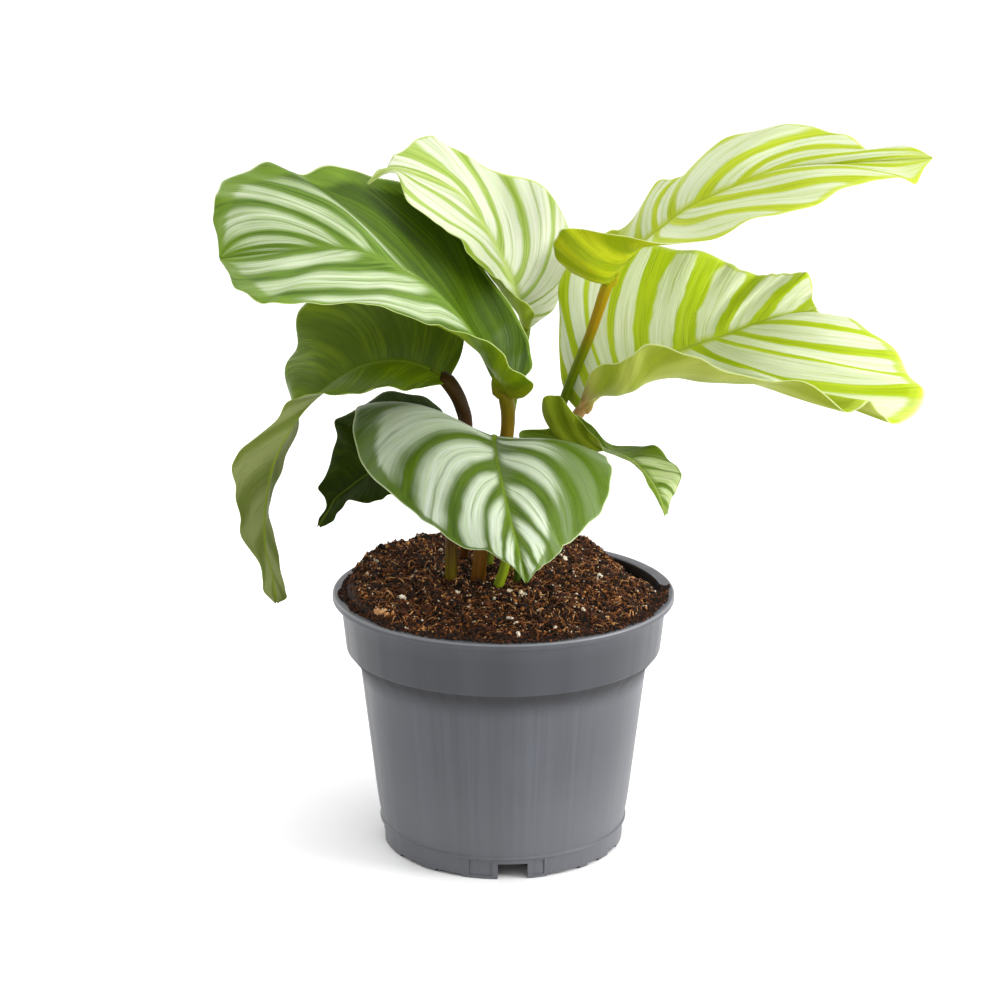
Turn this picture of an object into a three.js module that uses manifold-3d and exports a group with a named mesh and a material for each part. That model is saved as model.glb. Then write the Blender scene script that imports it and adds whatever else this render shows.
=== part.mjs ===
// A potted calathea with eight leaves, in millimetres. +Z is up and the front is -Y.
// The origin is the middle of the pot's centre foot, on the surface that the pot stands on.
import * as THREE from "three";
import { mergeVertices } from "three/addons/utils/BufferGeometryUtils.js";
import Module from "manifold-3d";

// Pot: a moulded nursery pot with a collar, a lip and a notched foot ring.
const RIM_RADIUS = 85;
const RIM_HEIGHT = 129.6;
const LIP_THICKNESS = 3;
const LIP_OVERHANG = 4;
const COLLAR_HEIGHT = 25;
const COLLAR_TAPER = 2.6;
const COLLAR_STEP = 7;
const BODY_TOP_Z = 94;
const BODY_TOP_RADIUS = 71.6;
const BODY_FOOT_Z = 22;
const BODY_FOOT_RADIUS = 63.4;
const FOOT_RING_RADIUS = 60.5;
const FLOOR_UNDERSIDE_Z = 10;
const WALL = 2;
const CENTRE_FOOT_RADIUS = 14;
const POT_SIDES = 40;
const NOTCH_WIDTH = 14.7;
const NOTCH_HEIGHT = 8;
const NOTCH_COUNT = 4;
const NOTCH_TURN = THREE.MathUtils.degToRad(4.6);
const DRAIN_COUNT = 6;
const DRAIN_RADIUS = 4.5;
const DRAIN_CIRCLE_RADIUS = 42;
const DRAIN_SIDES = 8;

// Soil: a low mound, heaped above the rim at the back and left, that slumps away from the wall at
// the back right.
const SEAT_GAP = 0.3;
const SOIL_CENTRE_Z = 137.5;
const SOIL_MOUND = 9;
const HEAP_HEIGHT = 10.5;
const HEAP_TURN = THREE.MathUtils.degToRad(25);
const CRUMBLE_SLOPE = 2.2;
const SOIL_EDGE_DROP = 1;
const SLUMP_DEPTH = 15;
const SLUMP_TURN = THREE.MathUtils.degToRad(28);
const SLUMP_SPREAD = THREE.MathUtils.degToRad(19);
const SOIL_RINGS = [0.2, 0.42, 0.62, 0.78, 0.9];

// Leaves: thin waved blades with a raised midrib below, each on its own stem.
const BLADE_THICKNESS = 0.8;
const BLADE_ROWS = 32;
const BLADE_COLUMNS_PER_HALF = 5;
const KEEL_DEPTH = 1.4;
const KEEL_HALF_WIDTH = 3;
const BASE_HALF_WIDTH = 2.5;
const TIP_HALF_WIDTH = 1.5;
const VEIN_SWEEP = 0.1;
const STEM_SEGMENTS = 14;
const STEM_SIDES = 8;
const STEM_FOOT_Z = 104;
const STEM_COLLAR_Z = 128;
const HOLE_REACH = 15;

// Each leaf runs from its base to its tip. midrib holds points of the midrib; left and right hold
// points of the blade's edges, evenly spread between base and tip, seen from above and looking towards
// the tip. belly says how far each half bows up, as a share of its width, along the leaf. waves is the
// ruffle of the edge. stem holds its foot, the points that it passes, how far its top stands back from
// the blade's base, and its radii at the foot, half-way and top.
const LEAVES = [
  {
    name: "upper_left",
    midrib: [
      [1, 0, 229], [-5, -3, 240], [-11, -7, 253], [-20, -13, 269], [-34, -21, 286],
      [-49, -28, 297], [-65, -34, 306], [-84, -39, 309], [-102, -44, 308], [-131, -46, 305],
    ],
    left: [
      [10, -7, 230], [14, -13, 237], [11, -20, 242], [4, -26, 249], [0, -34, 258], [-10, -43, 265],
      [-18, -52, 272], [-28, -60, 277], [-38, -69, 279], [-50, -76, 287], [-61, -83, 293],
      [-77, -88, 292], [-91, -91, 293], [-103, -91, 295], [-111, -89, 293], [-117, -84, 296],
      [-123, -75, 299], [-127, -62, 302],
    ],
    right: [
      [8, 7, 234], [14, 12, 240], [13, 14, 247], [10, 14, 258], [3, 14, 270], [-9, 26, 287],
      [-20, 31, 302], [-35, 33, 319], [-53, 30, 330], [-67, 25, 334], [-82, 18, 337], [-94, 12, 336],
      [-103, 7, 339], [-112, 2, 342], [-121, -4, 339], [-131, -10, 338], [-134, -16, 334],
      [-136, -22, 329], [-137, -28, 322], [-134, -37, 315],
    ],
    belly: { left: [-0.2, -0.2, -0.12, -0.05, 0.05, 0.08], right: [-0.1, -0.1, -0.08, 0.05, 0.08, 0.08] },
    waves: { count: 6, height: 1.8, phase: 0.3 },
    stem: { foot: [-13, -9], path: [[-10, -8, 160], [1, 1, 206]], standoff: 2.3, radii: [4.4, 3.3, 3.5] },
  },
  {
    name: "top",
    midrib: [
      [11, 45, 253], [9, 44, 259], [8, 42, 265], [6, 39, 273], [2, 36, 283], [-4, 31, 297],
      [-12, 27, 311], [-24, 22, 326], [-53, 14, 338], [-65, 11, 331],
    ],
    left: [
      [14, 36, 258], [15, 33, 262], [13, 30, 266], [9, 27, 271], [3, 23, 276], [-2, 19, 281],
      [-7, 13, 287], [-12, 10, 293], [-19, 7, 298], [-22, 5, 305], [-28, 1, 311], [-35, 1, 315],
      [-46, 3, 323], [-49, 6, 329], [-52, 11, 336], [-58, 11, 335],
    ],
    right: [
      [20, 49, 257], [26, 52, 262], [29, 55, 275], [35, 56, 289], [29, 56, 309], [21, 54, 322],
      [7, 52, 327], [-6, 48, 332], [-18, 44, 340], [-29, 40, 345], [-36, 36, 350], [-43, 31, 349],
      [-52, 22, 344], [-55, 19, 341], [-57, 16, 338], [-61, 13, 337],
    ],
    belly: { left: [-0.32, -0.3, -0.03, -0.05, 0.05], right: [0.05, 0.08, 0.08, 0.05, 0] },
    waves: { count: 5, height: 1.2, phase: 1.1 },
    stem: { foot: [-9, 14], path: [[-3, 20, 170], [3, 30, 211]], standoff: 1.7, radii: [2.8, 2.4, 2.4] },
  },
  {
    name: "upper_right",
    midrib: [
      [50, 5, 283], [53, 5, 288], [58, 6, 294], [68, 7, 304], [77, 9, 311],
      [89, 11, 320], [109, 13, 329], [130, 15, 337], [162, 17, 340], [205, 17, 343],
    ],
    left: [
      [48, 15, 294], [47, 22, 302], [52, 26, 306], [56, 29, 306], [66, 32, 314], [74, 35, 326],
      [81, 38, 330], [91, 41, 333], [107, 42, 346], [127, 42, 353], [143, 41, 357], [156, 38, 353],
      [168, 34, 350], [177, 30, 345], [185, 26, 346], [192, 22, 348], [199, 19, 347],
    ],
    right: [
      [40, -3, 289], [32, -9, 292], [26, -14, 298], [23, -17, 305], [24, -21, 311], [27, -24, 316],
      [38, -27, 315], [55, -30, 313], [74, -29, 311], [97, -26, 311], [116, -22, 318], [132, -17, 322],
      [147, -12, 326], [160, -6, 331], [172, -1, 333], [182, 3, 335], [193, 7, 333], [200, 12, 337],
    ],
    belly: { left: [0, 0.05, 0.1, 0.1, 0.05], right: [-0.35, -0.3, -0.05, 0.1, 0.05] },
    waves: { count: 5, height: 1.6, phase: 2.2 },
    stem: {
      foot: [6, 17],
      path: [[16, 17, 172], [29, 16, 221], [42, 10, 257]],
      standoff: 1.4,
      radii: [2.7, 2.2, 2.7],
    },
  },
  {
    name: "right",
    midrib: [
      [38, 14, 218], [43, 13, 223], [50, 13, 229], [59, 13, 235], [72, 13, 242], [88, 14, 249],
      [96, 14, 252], [102, 14, 254], [109, 15, 256], [124, 15, 262], [140, 16, 266], [152, 16, 268],
    ],
    left: [
      [31, 19, 224], [28, 23, 236], [27, 29, 261], [28, 33, 281], [40, 36, 293], [61, 37, 298],
      [84, 38, 294], [99, 37, 293], [109, 36, 289], [116, 34, 285], [123, 33, 283], [129, 32, 283],
      [134, 31, 283], [139, 30, 284], [146, 27, 285], [150, 25, 284], [151, 21, 278], [151, 18, 273],
    ],
    right: [
      [38, 5, 227], [39, -3, 234], [41, -11, 242], [47, -18, 248], [52, -25, 251], [57, -29, 255],
      [63, -33, 258], [70, -35, 262], [79, -38, 262], [91, -41, 258], [106, -45, 250], [127, -47, 246],
      [153, -48, 239], [167, -48, 234], [179, -46, 230], [185, -44, 227], [195, -39, 231],
      [200, -33, 239], [193, -25, 246], [187, -16, 257], [177, -8, 262], [168, -1, 267], [160, 6, 266],
      [156, 11, 266],
    ],
    belly: { left: [0.05, 0.05, 0.05, 0.05, 0], right: [0.05, -0.22, -0.15, 0.05, 0.1, 0.05] },
    waves: { count: 7, height: 1.8, phase: 0.8 },
    stem: { foot: [2, 2], path: [[10, 5, 166], [24, 10, 196]], standoff: 1.2, radii: [2.9, 2.4, 2.8] },
  },
  {
    name: "front",
    midrib: [
      [-5, -12, 211], [-4, -24, 208], [-3, -38, 204], [-1, -54, 200],
      [1, -70, 195], [4, -85, 187], [7, -97, 179], [10, -106, 168],
    ],
    left: [
      [19, -12, 208], [37, -16, 207], [48, -25, 206], [51, -37, 202], [50, -52, 195], [44, -67, 187],
      [36, -79, 183], [29, -87, 180], [25, -94, 177], [19, -100, 174], [15, -104, 172],
    ],
    right: [
      [-41, -3, 218], [-68, 0, 224], [-73, -10, 219], [-71, -26, 211], [-66, -41, 202], [-54, -56, 195],
      [-43, -69, 191], [-34, -80, 186], [-25, -88, 182], [-15, -95, 180], [-8, -100, 180],
      [-2, -104, 178], [5, -106, 174],
    ],
    belly: { left: [0.1, 0.12, 0.12, 0.08], right: [0.1, 0.14, 0.14, 0.08] },
    waves: { count: 5, height: 1.3, phase: 1.7 },
    stem: {
      foot: [-5, -16],
      path: [[1, -15, 149], [0, -14, 172], [-4, -11, 196]],
      standoff: 2.5,
      radii: [3, 2.4, 2.6],
    },
  },
  {
    name: "left",
    midrib: [
      [-28, 0, 237], [-36, -4, 243], [-51, -8, 248], [-69, -12, 246], [-86, -16, 236], [-100, -18, 222],
      [-111, -18, 201], [-116, -16, 178], [-117, -14, 157], [-114, -12, 141], [-112, -12, 127],
    ],
    left: [
      [-36, -11, 236], [-42, -19, 237], [-49, -26, 237], [-57, -31, 241], [-64, -36, 241],
      [-72, -41, 239], [-81, -44, 239], [-89, -46, 242], [-96, -46, 240], [-101, -44, 235],
      [-108, -40, 226], [-121, -35, 216], [-128, -31, 206], [-130, -28, 196], [-130, -25, 186],
      [-128, -23, 173], [-127, -22, 162], [-120, -21, 151], [-118, -20, 141], [-118, -17, 134],
    ],
    right: [
      [-21, 14, 246], [-20, 24, 256], [-26, 33, 267], [-39, 37, 276], [-61, 37, 280], [-81, 34, 277],
      [-100, 27, 265], [-103, 20, 250], [-108, 12, 237], [-100, 7, 214], [-109, 4, 195], [-113, 2, 181],
      [-115, 2, 168], [-114, 1, 155], [-111, -1, 143], [-108, -3, 131], [-108, -7, 127],
    ],
    belly: { left: [-0.1, -0.15, -0.1, 0.1, 0.1, 0.1], right: [-0.05, -0.05, 0, 0.05, 0.1, 0.1] },
    waves: { count: 6, height: 1.5, phase: 0.1 },
    stem: {
      foot: [-26, -7],
      path: [[-25, -2, 166], [-19, 2, 208], [-21, 1, 224]],
      standoff: 2.0,
      radii: [2.8, 3.2, 3.7],
    },
  },
  {
    name: "small_left",
    midrib: [
      [-18, 12, 203], [-27, 14, 203], [-39, 16, 199], [-53, 18, 192], [-67, 19, 184],
      [-78, 18, 176], [-84, 17, 171], [-88, 14, 165], [-92, 12, 159],
    ],
    left: [
      [-24, 9, 195], [-30, 6, 188], [-38, 3, 182], [-48, 2, 178], [-56, 2, 177], [-64, 3, 174],
      [-72, 6, 173], [-77, 10, 172], [-82, 10, 167], [-86, 10, 161],
    ],
    right: [
      [-24, 21, 207], [-28, 27, 209], [-32, 33, 214], [-38, 37, 218], [-47, 40, 219], [-57, 42, 221],
      [-66, 42, 217], [-76, 39, 211], [-84, 36, 207], [-84, 33, 200], [-86, 28, 192], [-89, 23, 182],
      [-93, 21, 176], [-89, 18, 171], [-89, 16, 167], [-92, 13, 162],
    ],
    belly: { left: [0.05, 0.05], right: [0.05, 0.05] },
    waves: { count: 4, height: 1, phase: 0.6 },
    stem: { foot: [-20, 25], path: [[-19, 18, 160], [-14, 14, 191]], standoff: 3.3, radii: [2.4, 2.2, 2.4] },
  },
  {
    name: "small_right",
    midrib: [
      [34, 4, 199], [38, 3, 201], [43, 2, 201], [49, 1, 202], [54, -2, 201],
      [61, -6, 199], [67, -12, 195], [73, -18, 188], [76, -22, 182], [78, -25, 176],
    ],
    left: [
      [12, 7, 201], [8, 7, 209], [22, 5, 211], [34, 5, 218], [42, 6, 213], [49, 6, 206], [57, 6, 202],
      [68, 5, 202], [75, 3, 202], [80, 0, 198], [85, -3, 194], [87, -8, 191], [84, -14, 185],
      [81, -19, 181],
    ],
    right: [
      [20, 2, 216], [19, 0, 227], [25, -2, 230], [29, -5, 228], [34, -8, 221], [40, -10, 215],
      [46, -13, 210], [49, -15, 206], [55, -18, 203], [62, -22, 201], [67, -23, 195], [71, -24, 189],
      [74, -25, 184], [76, -26, 180],
    ],
    belly: { left: [-0.1, -0.1, 0, 0.05], right: [-0.15, -0.12, 0, 0.05] },
    waves: { count: 3, height: 0.8, phase: 1.3 },
    stem: {
      foot: [7, -10],
      path: [[8, -9, 145], [14, -4, 162], [26, 3, 186]],
      standoff: 2.7,
      radii: [2.6, 2.2, 2.4],
    },
  },
];

const wasm = await Module();
wasm.setup();

// ---- Geometry helpers ----

function curveThrough(points) {
  return new THREE.CatmullRomCurve3(
    points.map((p) => new THREE.Vector3(...p)),
    false,
    "catmullrom",
    0.5,
  );
}

// The value at u, from 0 to 1, of evenly spaced values joined by a smooth curve.
function valueAlong(values, u) {
  return curveThrough(values.map((v) => [v, 0, 0])).getPoint(u).x;
}

// A closed skin of rings of points, with a fan over each end. All rings have the same count.
function skinOfRings(rings) {
  const count = rings[0].length;
  const vertices = rings.flat();
  const faces = [];
  for (let r = 0; r + 1 < rings.length; r++)
    for (let i = 0; i < count; i++) {
      const a = r * count + i;
      const b = r * count + ((i + 1) % count);
      faces.push(a, b, b + count, a, b + count, a + count);
    }
  const addFan = (ring, facesUp) => {
    const middle = vertices.push(centreOf(rings[ring])) - 1;
    for (let i = 0; i < count; i++) {
      const a = ring * count + i;
      const b = ring * count + ((i + 1) % count);
      faces.push(...(facesUp ? [a, b, middle] : [b, a, middle]));
    }
  };
  addFan(0, false);
  addFan(rings.length - 1, true);
  return geometryOf(vertices, faces);
}

function centreOf(points) {
  return points.reduce((sum, p) => sum.add(p), new THREE.Vector3()).divideScalar(points.length);
}

function geometryOf(vertices, faces) {
  const geometry = new THREE.BufferGeometry().setFromPoints(vertices);
  geometry.setIndex(faces);
  geometry.computeVertexNormals();
  return geometry;
}

function solidOf(geometry) {
  const bare = geometry.clone();
  bare.deleteAttribute("normal");
  bare.deleteAttribute("uv");
  const merged = mergeVertices(bare, 1e-4);
  const vertProperties = new Float32Array(merged.attributes.position.array);
  const triVerts = new Uint32Array(merged.index.array);
  return new wasm.Manifold(new wasm.Mesh({ numProp: 3, vertProperties, triVerts }));
}

function geometryOfSolid(solid) {
  const { vertProperties, triVerts } = solid.getMesh();
  const geometry = new THREE.BufferGeometry();
  geometry.setAttribute("position", new THREE.BufferAttribute(vertProperties, 3));
  geometry.setIndex(new THREE.BufferAttribute(triVerts, 1));
  geometry.computeVertexNormals();
  return geometry;
}

function cutAll(geometry, cutters) {
  const cut = cutters.reduce((solid, cutter) => solid.subtract(solidOf(cutter)), solidOf(geometry));
  return geometryOfSolid(cut);
}

// ---- Pot ----

const COLLAR_BOTTOM_Z = RIM_HEIGHT - LIP_THICKNESS - COLLAR_HEIGHT;
const COLLAR_TOP_RADIUS = RIM_RADIUS - LIP_OVERHANG;
const COLLAR_BOTTOM_RADIUS = COLLAR_TOP_RADIUS - COLLAR_TAPER;
const SHOULDER_Z = 13;
const FLOOR_TOP_Z = FLOOR_UNDERSIDE_Z + WALL;
const LIP_ROUND = 0.8;
const SOIL_RADIUS = COLLAR_TOP_RADIUS - WALL - SEAT_GAP;

// The inside of the pot from the middle of its floor to the top of its wall, as radius and height.
function potInside() {
  return [
    [CENTRE_FOOT_RADIUS - WALL, WALL],
    [CENTRE_FOOT_RADIUS - WALL / 2, FLOOR_TOP_Z],
    [FOOT_RING_RADIUS - WALL, FLOOR_TOP_Z],
    [BODY_FOOT_RADIUS - WALL, BODY_FOOT_Z + 1],
    [BODY_TOP_RADIUS - WALL, BODY_TOP_Z + 1],
    [COLLAR_BOTTOM_RADIUS - WALL - 1.5, BODY_TOP_Z + 4.5],
    [COLLAR_BOTTOM_RADIUS - WALL, COLLAR_BOTTOM_Z + 1.5],
    [COLLAR_TOP_RADIUS - WALL, RIM_HEIGHT - LIP_ROUND],
  ];
}

function potOutside() {
  return [
    [COLLAR_TOP_RADIUS - WALL + LIP_ROUND, RIM_HEIGHT],
    [RIM_RADIUS - LIP_ROUND, RIM_HEIGHT],
    [RIM_RADIUS, RIM_HEIGHT - LIP_ROUND],
    [RIM_RADIUS, RIM_HEIGHT - LIP_THICKNESS],
    [COLLAR_TOP_RADIUS, RIM_HEIGHT - LIP_THICKNESS],
    [COLLAR_BOTTOM_RADIUS, COLLAR_BOTTOM_Z],
    [COLLAR_BOTTOM_RADIUS - COLLAR_STEP * 0.3, COLLAR_BOTTOM_Z - 3.5],
    [BODY_TOP_RADIUS + COLLAR_STEP * 0.15, BODY_TOP_Z + 0.8],
    [BODY_TOP_RADIUS, BODY_TOP_Z - 1],
    [BODY_FOOT_RADIUS, BODY_FOOT_Z],
    [FOOT_RING_RADIUS + 0.9, SHOULDER_Z],
    [FOOT_RING_RADIUS, 0],
  ];
}

function potUnderside() {
  return [
    [FOOT_RING_RADIUS - WALL, 0],
    [FOOT_RING_RADIUS - WALL, FLOOR_UNDERSIDE_Z],
    [CENTRE_FOOT_RADIUS + 1, FLOOR_UNDERSIDE_Z],
    [CENTRE_FOOT_RADIUS, 0],
  ];
}

// A solid of revolution. The profile runs from the axis to the axis with the material on its left.
function turned(profile) {
  const points = profile.map(([radius, z]) => new THREE.Vector2(radius, z));
  return new THREE.LatheGeometry(points, POT_SIDES).rotateX(Math.PI / 2);
}

function makePot() {
  const body = turned([[0, 0], ...potUnderside().reverse(), ...potOutside().reverse(),
    ...potInside().reverse(), [0, WALL]]);
  const cutters = [];
  for (let i = 0; i < NOTCH_COUNT; i++) {
    const notch = new THREE.BoxGeometry(NOTCH_WIDTH, 4 * WALL, 2 * NOTCH_HEIGHT);
    notch.translate(0, -FOOT_RING_RADIUS, 0);
    cutters.push(notch.rotateZ(NOTCH_TURN + (i * 2 * Math.PI) / NOTCH_COUNT));
  }
  for (let i = 0; i < DRAIN_COUNT; i++) {
    const drain = new THREE.CylinderGeometry(DRAIN_RADIUS, DRAIN_RADIUS, 4 * WALL, DRAIN_SIDES);
    drain.rotateX(Math.PI / 2).translate(DRAIN_CIRCLE_RADIUS, 0, FLOOR_UNDERSIDE_Z + WALL / 2);
    cutters.push(drain.rotateZ(NOTCH_TURN + ((i + 0.5) * 2 * Math.PI) / DRAIN_COUNT));
  }
  return cutAll(body, cutters);
}

// ---- Soil ----

function soilHeight(x, y) {
  const radius = Math.hypot(x, y);
  const reach = radius / SOIL_RADIUS;
  const turn = Math.atan2(y, x);
  const heap = HEAP_HEIGHT * THREE.MathUtils.clamp(0.5 + 0.9 * Math.sin(turn - HEAP_TURN), 0, 1);
  const slump = SLUMP_DEPTH * Math.exp(-(((turn - SLUMP_TURN) / SLUMP_SPREAD) ** 2));
  const clods = 0.8 * Math.sin(x * 0.21 + 1.3) * Math.cos(y * 0.17 - 0.4);
  const mound = SOIL_CENTRE_Z + clods + (heap - SOIL_MOUND) * reach ** 2;
  const crumbled = RIM_HEIGHT - SOIL_EDGE_DROP + CRUMBLE_SLOPE * (SOIL_RADIUS - radius);
  return Math.min(mound, crumbled) - slump * reach ** 5;
}

// The pot's inner radius at a height, less the gap that the soil keeps to it.
function soilRadius(z) {
  const wall = potInside();
  const above = wall.findIndex(([, height]) => height > z);
  const upper = above < 1 ? wall.length - 1 : above;
  const [r0, z0] = wall[upper - 1];
  const [r1, z1] = wall[upper];
  return r0 + ((r1 - r0) * (z - z0)) / (z1 - z0) - SEAT_GAP;
}

function makeSoil(stems) {
  const lower = potInside().slice(0, -1);
  const rings = lower.map(([radius, z]) => ringAt(radius - 1.5 * SEAT_GAP, () => z + SEAT_GAP));
  const edge = ringAt(SOIL_RADIUS, soilHeight).map((p) => {
    const scale = soilRadius(p.z) / Math.hypot(p.x, p.y);
    return new THREE.Vector3(p.x * scale, p.y * scale, p.z);
  });
  rings.push(edge);
  for (const share of SOIL_RINGS.toReversed()) rings.push(ringAt(share * SOIL_RADIUS, soilHeight));
  return cutAll(skinOfRings(rings), stems.map((stem) => stem.hole));
}

// Points round the axis, at the corners of the turned pot.
function ringAt(radius, heightAt) {
  return Array.from({ length: POT_SIDES }, (_, i) => {
    const turn = (i * 2 * Math.PI) / POT_SIDES + Math.PI / 2;
    const x = radius * Math.cos(turn);
    const y = radius * Math.sin(turn);
    return new THREE.Vector3(x, y, heightAt(x, y));
  });
}

// ---- Leaf blades ----

// An edge of the blade with its first and last points set just beside the base and the tip.
function edgeCurve(leaf, side) {
  const { midrib } = leaf;
  const edge = leaf[side];
  const beside = (end, nextToEnd, edgePoint, halfWidth) => {
    const away = new THREE.Vector3(...edgePoint).sub(new THREE.Vector3(...nextToEnd));
    return new THREE.Vector3(...end).addScaledVector(away.normalize(), halfWidth).toArray();
  };
  return curveThrough([
    beside(midrib[0], midrib[1], edge[0], BASE_HALF_WIDTH),
    ...edge,
    beside(midrib.at(-1), midrib.at(-2), edge.at(-1), TIP_HALF_WIDTH),
  ]);
}

// A point of the blade's middle surface: u runs from base to tip, v from the left edge at -1
// through the midrib to the right edge at 1.
function bladePoint(leaf, curves, u, v) {
  const side = v < 0 ? "left" : "right";
  const share = Math.abs(v);
  const rib = curves.midrib.getPoint(u);
  const ahead = curves.midrib.getPoint(Math.min(1, u + 0.01));
  const behind = curves.midrib.getPoint(Math.max(0, u - 0.01));
  const forward = ahead.sub(behind).normalize();
  const across = curves[side].getPoint(u).sub(rib);
  const width = across.length();
  const up = new THREE.Vector3().crossVectors(across, forward).normalize();
  if (v < 0) up.negate();
  const bow = 4 * share * (1 - share) * width;
  const { count, height, phase } = leaf.waves;
  const ends = Math.sin(Math.PI * u);
  const ruffle = height * share ** 3 * ends * Math.sin(2 * Math.PI * count * u + phase + (v < 0 ? 2 : 0));
  return rib
    .addScaledVector(across, share)
    .addScaledVector(up, bow * valueAlong(leaf.belly[side], u) + ruffle)
    .addScaledVector(forward, -bow * VEIN_SWEEP * ends);
}

// Unit normals of a grid of points, on the side that faces up at the midrib. The narrow first and
// last rows share one normal each.
function gridNormals(grid) {
  const rows = grid.length - 1;
  const columns = grid[0].length - 1;
  return grid.map((row, i) => {
    const normals = row.map((_, j) => {
      const along = grid[Math.min(rows, i + 1)][j].clone().sub(grid[Math.max(0, i - 1)][j]);
      const across = row[Math.min(columns, j + 1)].clone().sub(row[Math.max(0, j - 1)]);
      return across.cross(along).normalize();
    });
    const shared = centreOf(normals).normalize();
    return i === 0 || i === rows ? normals.map(() => shared) : normals;
  });
}

// A closed sheet between two grids of points that have the same triangles on both faces.
function sheetBetween(upper, lower) {
  const rows = upper.length - 1;
  const columns = upper[0].length - 1;
  const stride = columns + 1;
  const under = stride * (rows + 1);
  const faces = [];
  const quad = (a, b, c, d) => faces.push(a, b, c, a, c, d);
  for (let i = 0; i < rows; i++)
    for (let j = 0; j < columns; j++) {
      const a = i * stride + j;
      quad(a, a + 1, a + stride + 1, a + stride);
      faces.push(under + a, under + a + stride + 1, under + a + 1);
      faces.push(under + a, under + a + stride, under + a + stride + 1);
    }
  for (let i = 0; i < rows; i++) {
    const left = i * stride;
    const right = left + columns;
    quad(left, left + stride, under + left + stride, under + left);
    quad(right + stride, right, under + right, under + right + stride);
  }
  for (let j = 0; j < columns; j++) {
    const end = rows * stride + j;
    quad(j + 1, j, under + j, under + j + 1);
    quad(end, end + 1, under + end + 1, under + end);
  }
  return geometryOf([...upper.flat(), ...lower.flat()], faces);
}

function makeBlade(leaf) {
  const curves = {
    midrib: curveThrough(leaf.midrib),
    left: edgeCurve(leaf, "left"),
    right: edgeCurve(leaf, "right"),
  };
  const columns = 2 * BLADE_COLUMNS_PER_HALF;
  const grid = Array.from({ length: BLADE_ROWS + 1 }, (_, i) =>
    Array.from({ length: columns + 1 }, (_, j) =>
      bladePoint(leaf, curves, i / BLADE_ROWS, (2 * j) / columns - 1),
    ),
  );
  const normals = gridNormals(grid);
  const shifted = (offsetAt) =>
    grid.map((row, i) => row.map((p, j) => p.clone().addScaledVector(normals[i][j], offsetAt(i, j))));
  const keel = (i, j) => {
    const away = grid[i][j].distanceTo(grid[i][BLADE_COLUMNS_PER_HALF]) / KEEL_HALF_WIDTH;
    return KEEL_DEPTH * (1 - i / BLADE_ROWS) * Math.max(0, 1 - away ** 2);
  };
  const upper = shifted(() => BLADE_THICKNESS / 2);
  const lower = shifted((i, j) => -BLADE_THICKNESS / 2 - keel(i, j));
  return sheetBetween(upper, lower);
}

// ---- Stems ----

// The path of a stem: straight up through the soil, past its points, to just below the blade.
function stemPath(leaf) {
  const { foot, path, standoff } = leaf.stem;
  const base = new THREE.Vector3(...leaf.midrib[0]);
  const approach = base.clone().sub(new THREE.Vector3(...path.at(-1))).normalize();
  const top = base.addScaledVector(approach, -standoff);
  return curveThrough([[...foot, STEM_FOOT_Z], [...foot, STEM_COLLAR_Z], ...path, top.toArray()]);
}

function makeStem(leaf) {
  const path = stemPath(leaf);
  const frames = path.computeFrenetFrames(STEM_SEGMENTS, false);
  const rings = (grow) =>
    Array.from({ length: STEM_SEGMENTS + 1 }, (_, i) => {
      const u = i / STEM_SEGMENTS;
      const centre = path.getPointAt(u);
      const radius = grow + valueAlong(leaf.stem.radii, u);
      return Array.from({ length: STEM_SIDES }, (_, k) => {
        const turn = (k * 2 * Math.PI) / STEM_SIDES;
        return centre
          .clone()
          .addScaledVector(frames.normals[i], radius * Math.cos(turn))
          .addScaledVector(frames.binormals[i], radius * Math.sin(turn));
      });
    });
  const holeRings = rings(SEAT_GAP).filter((ring) => centreOf(ring).z < SOIL_CENTRE_Z + HOLE_REACH);
  for (const corner of holeRings[0]) corner.z -= SEAT_GAP;
  return { solid: skinOfRings(rings(0)), hole: skinOfRings(holeRings) };
}

// ---- Assembly ----

function material(colour, roughness) {
  return new THREE.MeshStandardMaterial({ color: colour, roughness, metalness: 0 });
}

const plant = new THREE.Group();

function addMesh(name, geometry, look) {
  const mesh = new THREE.Mesh(geometry, look);
  mesh.name = name;
  plant.add(mesh);
}

const potLook = material(0x64686d, 0.5);
const soilLook = material(0x3a2417, 0.95);
const bladeLook = material(0x7fa052, 0.45);
const stemLook = material(0x5d5a2a, 0.5);

const stems = LEAVES.map(makeStem);
addMesh("pot", makePot(), potLook);
addMesh("soil", makeSoil(stems), soilLook);
LEAVES.forEach((leaf, i) => {
  addMesh(`stem_${leaf.name}`, stems[i].solid, stemLook);
  addMesh(`leaf_${leaf.name}`, makeBlade(leaf), bladeLook);
});

export default plant;
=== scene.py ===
import math

import bmesh
import bpy
import numpy as np
from mathutils import Matrix, Vector


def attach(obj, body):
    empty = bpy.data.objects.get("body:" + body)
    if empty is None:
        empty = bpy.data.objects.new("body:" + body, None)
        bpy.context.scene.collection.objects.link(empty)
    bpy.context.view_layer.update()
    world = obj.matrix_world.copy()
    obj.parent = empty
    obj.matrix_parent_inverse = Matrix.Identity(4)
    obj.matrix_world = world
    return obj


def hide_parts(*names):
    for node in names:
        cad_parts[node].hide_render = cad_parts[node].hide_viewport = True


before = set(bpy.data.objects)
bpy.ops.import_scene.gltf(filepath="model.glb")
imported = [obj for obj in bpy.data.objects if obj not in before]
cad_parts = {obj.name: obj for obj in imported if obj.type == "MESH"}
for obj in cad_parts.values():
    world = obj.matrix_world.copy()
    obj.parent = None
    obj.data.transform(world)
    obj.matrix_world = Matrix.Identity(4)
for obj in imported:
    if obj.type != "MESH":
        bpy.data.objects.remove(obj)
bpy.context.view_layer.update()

MM = 0.001
rng = np.random.default_rng(11)

# ---- The plant, with its lengths in millimetres ----

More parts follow.
